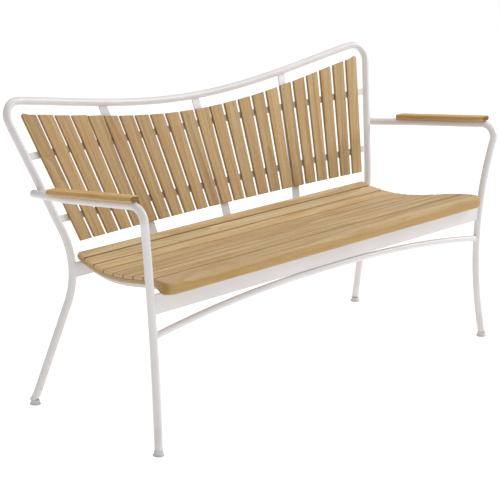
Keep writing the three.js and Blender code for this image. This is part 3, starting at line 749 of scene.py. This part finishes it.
def bar_between(samples, steps, half_height, thickness, place, left_line, right_line):
    """A flat bar across the bench, shaped to a leg or post at each end. place(x) gives the middle of its
    front face, the way up and the way back."""
    ring = bar_ring(samples, half_height, thickness)
    verts = []
    for i in range(steps + 1):
        for u, d in ring:
            verts.append(bar_point(2 * i / steps - 1, u, d, place, left_line, right_line))
    return verts, bridge(steps + 1, len(ring)) + end_faces(len(ring), steps + 1)


reach_cache = {}


def bar_point(share, u, d, place, left_line, right_line):
    """A point of the bar's section at a share of its length, stopping at the tubes' surfaces."""
    key = (round(u, 3), round(d, 3), id(place))
    if key not in reach_cache:
        ends = []
        for sign, line in ((-1, left_line), (1, right_line)):
            def clear(x):
                middle_point, up, back = place(sign * x)
                return distance_to_line(middle_point + up * u + back * d, line) > TUBE_RADIUS + CLEARANCE

            near = 560.0
            while clear(near + 4):
                near += 4
            far = near + 4
            for _ in range(16):
                middle = (near + far) / 2
                if clear(middle):
                    near = middle
                else:
                    far = middle
            ends.append(sign * near)
        reach_cache[key] = ends
    start, stop = reach_cache[key]
    x = start + (stop - start) * (share + 1) / 2
    middle_point, up, back = place(x)
    return middle_point + up * u + back * d


def apron_place(y, bottom, top):
    def place(x):
        return Vector((x, y, (bottom + top) / 2)), Vector((0, 0, 1)), Vector((0, 1, 0))
    return place


front_place = apron_place(APRON_Y - 4, 374, 428.5)
rear_place = apron_place(136 - 3, 374, 416)
plate = across_samples(1.4, middle=(0,))
build("front_apron_plate",
      Mesh().add(*bar_between(plate, 60, 27.25, 8, front_place, left_leg, right_leg)),
      WHITE, ["front_apron"])
build("rear_apron_plate",
      Mesh().add(*bar_between(plate, 60, 21, 6, rear_place, left_rear, right_rear)),
      WHITE, ["rear_apron"])


def back_bar_place(end_z, middle_z):
    offset = BACK_THICKNESS + BAR_GAP
    half = BACK_SLATS * PITCH_TOP / 2

    def place(x):
        z = middle_z + (end_z - middle_z) * (x / half) ** 2
        point, normal = back_surface(place_at(x, z), z)
        up = Vector((0, -normal.z, normal.y)).normalized()
        return point + normal * offset, up, normal
    return place


upper_place = back_bar_place(713, 704)
lower_place = back_bar_place(543, 535)
flat = across_samples(1.1, middle=(0,))
for word, place in (("upper", upper_place), ("lower", lower_place)):
    build("back_bar_%s_flat" % word,
          Mesh().add(*bar_between(flat, 70, BAR_HEIGHT / 2, BAR_THICKNESS, place, left_rear, right_rear)),
          WHITE, ["back_bar_" + word])


def strap_place(side, z):
    """Place of a strap's middle, in slat pitches, at a height. side is -1, 0 or 1."""
    top = rail_point(side * STRAP_TOP_PLACE * PITCH_TOP).z
    rise = (z - BACK_BOTTOM_Z) / (top - BACK_BOTTOM_Z)
    return side * (STRAP_BOTTOM_PLACE + (STRAP_TOP_PLACE - STRAP_BOTTOM_PLACE) * rise)


def strap_depth(place, z):
    """Depth of a strap's middle: behind the bars, then straight in to the rear apron."""
    offset = BACK_THICKNESS + BAR_GAP + BAR_THICKNESS + STRAP_GAP + STRAP_THICKNESS / 2
    point, normal = back_surface(place, max(z, BACK_BOTTOM_Z))
    behind = point.y + offset / normal.y
    if z >= BACK_BOTTOM_Z:
        return behind
    on_apron = REAR_APRON_Y + REAR_APRON_THICKNESS / 2 + CLEARANCE + STRAP_THICKNESS / 2
    return behind + (on_apron - behind) * min(1, (BACK_BOTTOM_Z - z) / (BACK_BOTTOM_Z - STRAP_LAP_Z))


def strap_point(side, u, d, z):
    """A point of a strap: u across it and d behind its middle."""
    place = strap_place(side, z)
    point, _ = back_surface(place, z)
    return Vector((point.x + u, strap_depth(place, z) + d, z))


def strap_top(side, u, d, rail):
    """The height at which a line of the strap meets the top rail."""
    near, far = 650.0, rail_point(side * STRAP_TOP_PLACE * PITCH_TOP).z + 4
    for _ in range(30):
        z = (near + far) / 2
        if distance_to_line(strap_point(side, u, d, z), rail) > TUBE_RADIUS + CLEARANCE:
            near = z
        else:
            far = z
    return near


def strap(side, steps=60):
    section = across_samples(1.1, middle=(0,))
    half, thick = STRAP_WIDTH / 2, STRAP_THICKNESS / 2
    ring = [(f * half + into, drop - thick) for f, into, drop, _, _ in section]
    ring += [(f * half + into, thick - rise) for f, _, _, into, rise in reversed(section)]
    rail = rail_line()
    tops = [strap_top(side, u, d, rail) for u, d in ring]
    verts = []
    for i in range(steps + 1):
        for (u, d), top in zip(ring, tops):
            verts.append(strap_point(side, u, d, STRAP_FOOT_Z + (top - STRAP_FOOT_Z) * i / steps))
    return Mesh().add(verts, bridge(steps + 1, len(ring)) + end_faces(len(ring), steps + 1))


for word, side in SIDES.items():
    build("back_strap_%s_flat" % word, strap(side), WHITE, ["back_strap_" + word])


# ------------------------------------------------------------ seat rails

def underside_line(depth):
    """The line at a depth below the seat's top surface in side view, straight under each slat."""
    line = []
    for i in range(SEAT_SLATS):
        corner, run, down, width = slat_section(i)
        line.append(corner + down * depth)
    line.append(corner + run * width + down * depth)
    return line


def height_on(line, y):
    i = 0
    while i < len(line) - 2 and line[i + 1].y > y:
        i += 1
    a, b = line[i], line[i + 1]
    return a.z + (b.z - a.z) * (y - a.y) / (b.y - a.y)


SLAT_UNDERSIDE = underside_line(SEAT_SLAT_THICKNESS)
SEAT_UNDERSIDE = underside_line(SEAT_THICKNESS)
RAIL_LINE = SEAT_UNDERSIDE + [Vector((0, NOSE_BOTTOM[0], NOSE_BOTTOM[1] - 1))]


def seat_rail_top(y):
    return height_on(RAIL_LINE, y) - 1


def seat_rail(x_at):
    rear, front = 136 - 3 - CLEARANCE, APRON_Y + 4 + CLEARANCE
    length = rear - front
    stations = [(length * i / 48, 0) for i in range(49)]

    def place(u, d, v):
        y = rear - v
        return Vector((x_at(y) + u, y, seat_rail_top(y) - d))
    verts, faces, _ = board(across_samples(1.4, middle=(0,)), stations, lambda v: 7, 12, place)
    return Mesh().add(verts, faces)


build("seat_rail_middle_bar", seat_rail(lambda y: 0), WHITE, ["seat_rail_middle"])
for side, word in ((1, "right"), (-1, "left")):
    build("seat_rail_%s_bar" % word, seat_rail(lambda y, s=side: s * (seat_end_x(y) - 21)), WHITE,
          ["seat_rail_" + word])


# ------------------------------------------------------------ wooden boards

def bearer(x_at):
    """A curved bearer: its top follows the undersides of the thin slats, its bottom the steel rail."""
    rear, front = SEAT_UNDERSIDE[0].y, SEAT_UNDERSIDE[-1].y
    length = rear - front
    depth = SEAT_THICKNESS - SEAT_SLAT_THICKNESS

    def place(u, d, v):
        y = rear - v
        top, bottom = height_on(SLAT_UNDERSIDE, y) - BEARER_GAP, height_on(SEAT_UNDERSIDE, y)
        return Vector((x_at(y) + u, y, top + (bottom - top) * d / depth))
    stations = end_stations(length, 1.5, [i / 40 for i in range(1, 40)], 3)
    shape = Mesh().add(*board(across_samples(0.8, 1.5, middle=(0,)), stations, lambda v: BEARER_WIDTH / 2, depth, place))
    return shape, (Vector((1, 0, 0)), Vector((0, 1, 0)), Vector((0, 0, 1)))


for side, word in ((1, "right"), (-1, "left"), (0, "middle")):
    shape, axes = bearer(lambda y, s=side: s * (seat_end_x(y) - BEARER_WIDTH / 2))
    wooden("seat_bearer_%s_board" % word, shape, axes, SEAT_TEAK, ["seat_bearer_" + word],
           (-0.25, 0.5), groove=0.12)


CORNER_RADIUS = 9.0
WIDER_TOPS = {4: 4.5, 5: 5.0, 12: 5.5}     # back slats whose right edge leans on the next one at the top
WIDENED_LENGTH = 170.0


def back_slat(index):
    place_number = index - (BACK_SLATS - 1) / 2
    half_top = 0.5 - BACK_GAP / 2 / PITCH_TOP
    half_bottom = 0.5 - BACK_GAP / 2 / PITCH_BOTTOM
    corners = [back_bottom(place_number - half_bottom), back_bottom(place_number + half_bottom),
               back_top(place_number + half_top), back_top(place_number - half_top)]
    point, normal = back_surface(place_number, BACK_BOTTOM_Z)
    up = (back_top(place_number) - back_bottom(place_number)).normalized()
    across = -up.cross(normal)
    flat_corners = [((c - point).dot(across), (c - point).dot(up)) for c in corners]
    (lx, ly), (rx, ry), (tx, ty), (sx, sy) = flat_corners
    length = (ty + sy - ly - ry) / 2
    warp = rng.uniform(-0.35, 0.35)
    lift = rng.uniform(-0.4, 0.4)
    outer = 1 if index == BACK_SLATS - 1 else -1 if index == 0 else 0
    widened = WIDER_TOPS.get(index + 1, 0.0)

    def half_width(v):
        share = v / length
        return ((rx - lx) * (1 - share) + (tx - sx) * share) / 2

    def place(u, d, v):
        share = v / length
        w = half_width(v)
        f = (u / w + 1) / 2
        x = (lx + (rx - lx) * f) * (1 - share) + (sx + (tx - sx) * f) * share
        y = (ly + (ry - ly) * f) * (1 - share) + (sy + (ty - sy) * f) * share + lift * share
        to_top = length - v
        if u * outer > 0 and to_top < CORNER_RADIUS:
            take = CORNER_RADIUS - math.sqrt(CORNER_RADIUS ** 2 - (CORNER_RADIUS - to_top) ** 2)
            x -= take * u / w
        x += widened * f * max(0.0, 1 - to_top / WIDENED_LENGTH) ** 2
        bow = warp * math.sin(math.pi * share)
        return point + across * x + up * y + normal * (d + bow)

    stations = end_stations(length, 1.5, [0.1, 0.3, 0.5, 0.7, 0.9], 3)
    if outer:
        stations = sorted(stations + [(length - s, 0) for s in (9, 7.5, 6, 4.5, 3.3)])
    verts, faces, grain = board(across_samples(1.6), stations, half_width, BACK_THICKNESS, place)
    return Mesh().add(verts, faces, grain), (across, up, normal)


LIGHT_SLATS = (4, 12, 17, 20, 23)
DARK_SLATS = (1, 6, 11, 15, 16, 18)

for i in range(BACK_SLATS):
    shape, axes = back_slat(i)
    grade = 0.55 if i + 1 in LIGHT_SLATS else -0.6 if i + 1 in DARK_SLATS else 0.0
    tone = (grade + rng.uniform(-0.35, 0.35), rng.uniform(-0.6, 0.6) - 0.5 * grade)
    name = "back_slat_%02d" % (i + 1)
    wooden(name + "_board", shape, axes, BACK_TEAK, [name], tone, groove=0.36)


def seat_slat(index):
    corner, run, down, width = slat_section(index)
    half = width / 2
    length = 2000.0
    settle = rng.uniform(-0.25, 0.25)

    def place(u, d, v):
        point = corner + run * (u + half) + down * d
        reach = seat_end_x(point.y)
        # v counts from the left end up to the middle, then on from the middle to the right end.
        x = v - reach if v < length / 2 else reach - (length - v)
        return Vector((x, point.y, point.z + settle))
    near = [(0, 1.6)] + quarter(1.0, 3) + [(1.6, 0)] + [(d, 0) for d in (60, 220, 400, 560)]
    stations = near + [(length - p, inset) for p, inset in reversed(near)]
    verts, faces, grain = board(across_samples(2.6, 1.2), stations, lambda v: half, SEAT_SLAT_THICKNESS, place)
    for g, p in zip(grain, verts):
        g.y = p.x
    return Mesh().add(verts, faces, grain), (run, Vector((1, 0, 0)), down)


SEAT_GAP_SHADE = (0.62, 0.62, 0.62, 0.68, 0.74, 0.82, 0.92, 1.0)     # how much painted shade each slat's gaps and eased edges get

for i in range(SEAT_SLATS):
    shape, axes = seat_slat(i)
    tone = (rng.uniform(-0.7, 0.7), rng.uniform(-0.8, 0.8))
    name = "seat_slat_%02d" % (i + 1)
    wooden(name + "_board", shape, axes, SEAT_TEAK, [name], tone, groove=SEAT_GAP_SHADE[i])


def quadratic(a, b, c, steps):
    points = []
    for i in range(steps + 1):
        t = i / steps
        points.append(tuple(p * (1 - t) ** 2 + q * 2 * t * (1 - t) + r * t * t for p, q, r in zip(a, b, c)))
    return points


FRONT_CORNER_RADIUS = 27
FRONT_BLEND = 75                     # how far behind the nose the corner's rounding dies out
NOSE_ROUND = (-282, 457.9)           # where the top of the front slat starts to round over


def front_slat():
    corner, run, down, width = slat_section(SEAT_SLATS - 1)
    rear_top = GROOVES[SEAT_SLATS] + run * SEAT_GAP / 2
    rear_bottom = rear_top + down * SEAT_THICKNESS
    ease = 3.2
    tops, bottoms = [], []
    for inward, drop in quarter(ease):
        tops.append((rear_top.y - inward, rear_top.z - drop))
    for inward, drop in quarter(2.0):
        bottoms.append((rear_bottom.y - inward, rear_bottom.z + drop))
    line_top = [(tops[-1][0] - 0.8, tops[-1][1])]
    line_bottom = [(bottoms[-1][0] - 0.8, bottoms[-1][1])]
    for f in (0.35, 0.7, 0.95):
        line_top.append(tuple(a + (b - a) * f for a, b in zip(tops[-1], NOSE_TOP)))
        line_bottom.append(tuple(a + (b - a) * f for a, b in zip(bottoms[-1], (NOSE_BOTTOM[0] + 4, NOSE_BOTTOM[1]))))
    nose_top = quadratic(NOSE_ROUND, (NOSE_FRONT_Y + 1, NOSE_ROUND[1] - 0.7), NOSE_MIDDLE, 12)
    nose_bottom = quadratic((NOSE_BOTTOM[0] - 3, NOSE_BOTTOM[1]), (NOSE_FRONT_Y, NOSE_BOTTOM[1]), NOSE_MIDDLE, 12)
    tops += line_top + [NOSE_TOP] + nose_top
    bottoms += line_bottom + [NOSE_BOTTOM] + nose_bottom
    ring = tops + bottoms[-2::-1]
    centre_y = sum(p[0] for p in ring) / len(ring)
    centre_z = sum(p[1] for p in ring) / len(ring)

    def pushed_back(into):
        """How far the rounded corner has taken the front edge back, at a distance from the board's end."""
        left = max(0.0, FRONT_CORNER_RADIUS - into)
        return FRONT_CORNER_RADIUS - math.sqrt(FRONT_CORNER_RADIUS ** 2 - left ** 2)

    turns = [FRONT_CORNER_RADIUS * (1 - math.sin(math.radians(a))) for a in (67, 58, 49, 40, 32, 24, 16, 8, 0)]
    half = [(0, 2.0), (0.12, 1.35), (0.45, 0.75), (1.0, 0.28)] + [(d, 0) for d in turns]
    half += [(d, 0) for d in (34, 60, 220, 420, 600)]
    verts, grain, stain_and_shade = [], [], []
    for sign, stations in ((-1, half), (1, half[::-1])):
        for into, inset in stations:
            back = pushed_back(into)
            for y, z in ring:
                near = min(1.0, max(0.0, 1 - (y - NOSE_FRONT_Y) / FRONT_BLEND))
                yy = y + back * near - (inset if y > centre_y + 20 else 0)
                zz = centre_z + (z - centre_z) * (1 - inset / 16)
                x = sign * (seat_end_x(y) - into)
                verts.append(Vector((x, yy, zz)))
                grain.append(Vector((yy, x, zz)))
                # Painted shade: the rounded front corner and the rear edge beside the gap darken.
                turned = math.sin(math.pi * min(1.0, back / FRONT_CORNER_RADIUS * 0.8))
                rear_edge = 0.9 * min(1.0, max(0.0, (y - rear_top.y + 4.5) / 1.5))
                stain_and_shade.append(max(rear_edge, 0.75 * turned * min(1.0, max(0.0, 3 * near - 2))))
    rings = 2 * len(half)
    count = len(ring)
    faces = bridge(rings, count)
    top_count = len(tops)
    for base, flip in ((0, False), ((rings - 1) * count, True)):
        for i in range(top_count - 2):
            face = (base + i, base + i + 1, base + count - 2 - i, base + count - 1 - i)
            faces.append(face if flip else face[::-1])
        tip = (base + top_count - 2, base + top_count - 1, base + top_count)
        faces.append(tip if flip else tip[::-1])
    shape = Mesh().add(verts, faces, grain)
    shape.stain_and_shade = stain_and_shade
    return shape, (Vector((0, 1, 0)), Vector((1, 0, 0)), Vector((0, 0, 1)))


shape, axes = front_slat()
tone = (-0.45, 0.35)
wooden("seat_slat_front_board", shape, axes, FRONT_TEAK, ["seat_slat_front"], tone, groove=0.5)


# ------------------------------------------------------------ armrests

ARM_FRONT_Y, ARM_REAR_Y = -243, 96
ARM_HALF, ARM_THICKNESS = 20.5, 15.5
ARM_UNDERCUT = 1.5
ARM_FRONT_ROUND = (24, 13)           # how far back the plan's rounding reaches, and how much it takes off
ARM_REAR_ROUND = (6, 6)


def armrest(side):
    slope = (ARM_CORNER.z - ARM_KINK.z) / (ARM_KINK.y - ARM_CORNER.y)
    length = ARM_REAR_Y - ARM_FRONT_Y
    bottom = TUBE_RADIUS - 1.5
    groove = TUBE_RADIUS + CLEARANCE

    def middle(y):
        share = (y - ARM_CORNER.y) / (ARM_KINK.y - ARM_CORNER.y)
        return Vector((ARM_CORNER.x + (ARM_KINK.x - ARM_CORNER.x) * share, y, ARM_CORNER.z - slope * (y - ARM_CORNER.y)))

    def half_width(v):
        w = ARM_HALF
        for to_end, (reach, depth) in ((v, ARM_FRONT_ROUND), (length - v, ARM_REAR_ROUND)):
            if to_end < reach:
                w = ARM_HALF - depth * (1 - math.sqrt(1 - (1 - to_end / reach) ** 2))
        return w

    def place(u, d, v):
        y = ARM_FRONT_Y + v
        top = middle(y)
        z = top.z + bottom + ARM_THICKNESS - d
        if d > ARM_THICKNESS / 2:
            z += ARM_UNDERCUT * max(0.0, 1 - v / 25) ** 2
            inside = groove ** 2 - u ** 2
            if inside > 0:
                z = max(z, top.z + math.sqrt(inside))
        return Vector((side * (top.x + u), y, z))

    stations = [(0, 2.6)] + quarter(2.0, 3) + [(2.6, 0)]
    stations += [(d, 0) for d in (4, 5.5, 7.5, 10, 13, 16, 20, 24, 32)]
    stations += [(length * f, 0) for f in (0.25, 0.4, 0.55, 0.7, 0.85)]
    stations += [(length - d, 0) for d in (12, 6, 4.5)]
    stations += [(length - p, i) for p, i in reversed([(0, 2.6)] + quarter(2.0, 3) + [(2.6, 0)])]
    flat = [i / 8 for i in range(-7, 8)]
    samples = across_samples(6.2, 6.2, middle=flat, steps=6)
    verts, faces, grain = board(samples, stations, half_width, ARM_THICKNESS, place)
    axis = (middle(50) - middle(-200)).normalized()
    axis.x *= side
    return Mesh().add(verts, faces, grain), (Vector((1, 0, 0)), axis, Vector((1, 0, 0)).cross(axis))


for side, word, tone in ((1, "right", (-0.5, 0.2)), (-1, "left", (0.15, 0.4))):
    shape, axes = armrest(side)
    wooden("armrest_%s_board" % word, shape, axes, ARM_TEAK, ["armrest_" + word], tone)


# ------------------------------------------------------------ caps and glides

for side, word in ((1, "right"), (-1, "left")):
    line = front_leg_line(side)
    way = (line[-1] - line[-2]).normalized()
    profile = [(0, 0), (10.4, 0), (TUBE_RADIUS, 0.5), (TUBE_RADIUS, 1.6), (10.3, 2.6), (8.6, 3.4), (6.2, 3.9), (3, 4.1), (0, 4.15)]
    shape = Mesh().add(*turned(profile, line[-1] + way * CLEARANCE, way, 36))
    build("arm_tube_cap_%s_dome" % word, shape, WHITE, ["arm_tube_cap_" + word])

GLIDE_PROFILE = [(0, 0), (13.6, 0), (14.8, 0.3), (15.4, 1.0), (15.5, 1.8), (15.1, 2.5), (14.6, 2.9), (14.1, 3.6),
                 (13.4, 5.2), (12.7, 7.4), (12.2, 9.8), (11.9, 12.0), (11.8, 13.2), (11.2, 13.9), (10, 14), (0, 14)]
for kind, make_line in (("front", front_leg_line), ("rear", rear_leg_line)):
    for side, word in ((1, "right"), (-1, "left")):
        line = make_line(side)
        a, b = line[0], line[1]
        at = a + (b - a) * (GLIDE_HEIGHT / (b - a).z)
        centre = Vector((at.x, at.y, 0))
        shape = Mesh().add(*turned(GLIDE_PROFILE, centre, Vector((0, 0, 1)), 48))
        name = "foot_glide_%s_%s" % (kind, word)
        build(name + "_moulding", shape, PLASTIC, [name])


# ------------------------------------------------------------ welds

def bead(points, size, closed):
    """A weld bead along points: a small round run with the ripples that the torch leaves."""
    beat = 2.6 if closed else 2.4

    def radius(ring, _):
        return size * (1 + 0.16 * math.sin(ring * beat) + 0.06 * math.sin(ring * 0.9 + 1))
    return sweep(points, radius, 10, closed)


def end_loop(verts, start, count, step=1):
    return [verts[start + i].copy() for i in range(0, count, step)]


welds = Mesh()
ring_size = TUBE_SIDES
rings = len(stretcher_verts) // ring_size
for start in (0, (rings - 1) * ring_size):
    loop = end_loop(stretcher_verts, start, ring_size)
    welds.add(*bead(loop, 1.5, True))


def resample(points, spacing):
    """The same closed line with points a set distance apart."""
    loop = points + [points[0]]
    lengths = [(b - a).length for a, b in zip(loop, loop[1:])]
    total = sum(lengths)
    count = max(8, round(total / spacing))
    out, travelled, i = [], 0.0, 0
    for k in range(count):
        want = total * k / count
        while travelled + lengths[i] < want:
            travelled += lengths[i]
            i += 1
        out.append(loop[i].lerp(loop[i + 1], (want - travelled) / max(lengths[i], 1e-9)))
    return out


for samples, half_height, thickness, place, lines in (
    (plate, 27.25, 8, front_place, (left_leg, right_leg)),
    (plate, 21, 6, rear_place, (left_rear, right_rear)),
    (flat, BAR_HEIGHT / 2, BAR_THICKNESS, upper_place, (left_rear, right_rear)),
    (flat, BAR_HEIGHT / 2, BAR_THICKNESS, lower_place, (left_rear, right_rear)),
):
    for share in (-1, 1):
        outline = [bar_point(share, u, d, place, *lines) for u, d in bar_ring(samples, half_height, thickness)]
        loop = resample(outline, 1.6)
        welds.add(*bead(loop, 1.3, True))

build("weld_beads", welds, WHITE)


# ------------------------------------------------------------ screws

HEAD = [(0, 0), (4.2, 0), (4.3, 0.3), (4.2, 0.9), (3.7, 1.5), (2.9, 1.95), (2.3, 2.1)]


def screw(point, way):
    """A pan-head screw with a six-lobed drive, its head standing on a surface and facing way."""
    way = way.normalized()
    normal = way.orthogonal().normalized()
    side = way.cross(normal)
    sides = 24
    verts, faces = [], []
    for radius, height in HEAD[1:]:
        for i in range(sides):
            a = 2 * math.pi * i / sides
            verts.append(point + way * height + (normal * math.cos(a) + side * math.sin(a)) * radius)
    levels = len(HEAD) - 1
    faces = bridge(levels, sides)
    # The drive is a star-shaped hole with six lobes.
    for height, depth in ((2.1, 0), (0.8, 1)):
        for i in range(sides):
            a = 2 * math.pi * i / sides
            radius = (1.55 + 0.28 * math.cos(6 * a)) * (1 if not depth else 0.92)
            verts.append(point + way * height + (normal * math.cos(a) + side * math.sin(a)) * radius)
    top = (levels - 1) * sides
    for i in range(sides):
        j = (i + 1) % sides
        lip, floor = levels * sides, (levels + 1) * sides
        faces.append((top + i, top + j, lip + j, lip + i))
        faces.append((lip + i, lip + j, floor + j, floor + i))
    faces.append(tuple((levels + 1) * sides + i for i in range(sides)))
    faces.append(tuple(range(sides))[::-1])
    return verts, faces


back_screws = Mesh()
for place in (upper_place, lower_place):
    for i in range(BACK_SLATS):
        number = i - (BACK_SLATS - 1) / 2
        z = 704 if place is upper_place else 535
        x = back_surface(number, z)[0].x
        for side in SIDES.values():
            aside = x - strap_point(side, 0, 0, z).x
            if abs(aside) < STRAP_WIDTH / 2 + 6:
                x += math.copysign(STRAP_WIDTH / 2 + 6 - abs(aside), aside + 0.01)
        middle_point, up, back = place(x)
        back_screws.add(*screw(middle_point + back * BAR_THICKNESS, back))
build("back_slat_screws", back_screws, STEEL)

seat_screws = Mesh()
for x_at in (lambda y: 0, lambda y: seat_end_x(y) - 21, lambda y: -(seat_end_x(y) - 21)):
    for i in range(SEAT_SLATS):
        corner, run, down, width = slat_section(i)
        y = (corner + run * width / 2).y
        seat_screws.add(*screw(Vector((x_at(y), y, seat_rail_top(y) - 11.2)), Vector((0, 0, -1))))
    seat_screws.add(*screw(Vector((x_at(-240), -240, seat_rail_top(-240) - 11.2)), Vector((0, 0, -1))))
build("seat_slat_screws", seat_screws, STEEL)

arm_screws = Mesh()
for side in (1, -1):
    line = front_leg_line(side)
    for y in (-205, -75, 55):
        i = max(k for k in range(len(line)) if line[k].z > 600 and line[k].y < y)
        a, b = line[i], line[i + 1]
        at = a.lerp(b, (y - a.y) / (b.y - a.y))
        along = (b - a).normalized()
        down = Vector((0, 0, -1))
        down = (down - along * down.dot(along)).normalized()
        arm_screws.add(*screw(at + down * (TUBE_RADIUS - 1.5), down))
build("armrest_screws", arm_screws, STEEL)


# ------------------------------------------------------------ stage, light and camera

def plain(name, rgb, glow):
    material = bpy.data.materials.new(name)
    material.use_nodes = True
    shader = next(n for n in material.node_tree.nodes if n.type == "BSDF_PRINCIPLED")
    shader.inputs["Base Color"].default_value = rgb
    shader.inputs["Roughness"].default_value = 0.9
    shader.inputs["Specular IOR Level"].default_value = 0.1
    shader.inputs["Emission Color"].default_value = (1, 1, 1, 1)
    shader.inputs["Emission Strength"].default_value = glow
    return material


floor_mesh = bpy.data.meshes.new("floor")
half_floor = 30.0
floor_mesh.from_pydata([(-half_floor, -half_floor, 0), (half_floor, -half_floor, 0), (half_floor, half_floor, 0),
                        (-half_floor, half_floor, 0)], [], [(0, 1, 2, 3)])
floor_mesh.materials.append(plain("floor_white", colour(0.45, 0.45, 0.45), 0.79))
floor = bpy.data.objects.new("floor", floor_mesh)
bpy.context.scene.collection.objects.link(floor)

world = bpy.data.worlds.new("studio")
bpy.context.scene.world = world
world.use_nodes = True
background = next(n for n in world.node_tree.nodes if n.type == "BACKGROUND")
background.inputs["Color"].default_value = (1.0, 1.0, 1.0, 1.0)
background.inputs["Strength"].default_value = 0.42


def softbox(name, place, target, width, height, power):
    light = bpy.data.lights.new(name, "AREA")
    light.shape = "RECTANGLE"
    light.size, light.size_y = width, height
    light.energy = power
    lamp = bpy.data.objects.new(name, light)
    lamp.location = place
    lamp.rotation_mode = "QUATERNION"
    lamp.rotation_quaternion = (Vector(target) - Vector(place)).to_track_quat("-Z", "Y")
    bpy.context.scene.collection.objects.link(lamp)


softbox("key", (4.4, -1.8, 2.8), (0, 0, 0.45), 2.2, 1.8, 126)
softbox("top", (0.2, 0.4, 4.2), (0, 0, 0.4), 3.2, 2.6, 63)
softbox("front_fill", (-0.8, -4.4, 1.6), (0, 0, 0.5), 2.2, 2.2, 23)

camera_data = bpy.data.cameras.new("camera")
camera = bpy.data.objects.new("camera", camera_data)
camera_data.sensor_width = 36
camera_data.lens = 126
camera_data.clip_end = 100
CAMERA_PLACE = Vector((-3576.3, -3379.4 + SHIFT_Y, 1760.7)) * MM
CAMERA_RIGHT = Vector((0.69509, -0.71886, 0.00978))
CAMERA_UP = Vector((0.19055, 0.19734, 0.96164))
turn = Matrix((CAMERA_RIGHT, CAMERA_UP, CAMERA_RIGHT.cross(CAMERA_UP))).transposed()
camera.matrix_world = Matrix.Translation(CAMERA_PLACE) @ turn.to_4x4()
bpy.context.scene.collection.objects.link(camera)
bpy.context.scene.camera = camera
bpy.context.scene.view_settings.view_transform = "Standard"
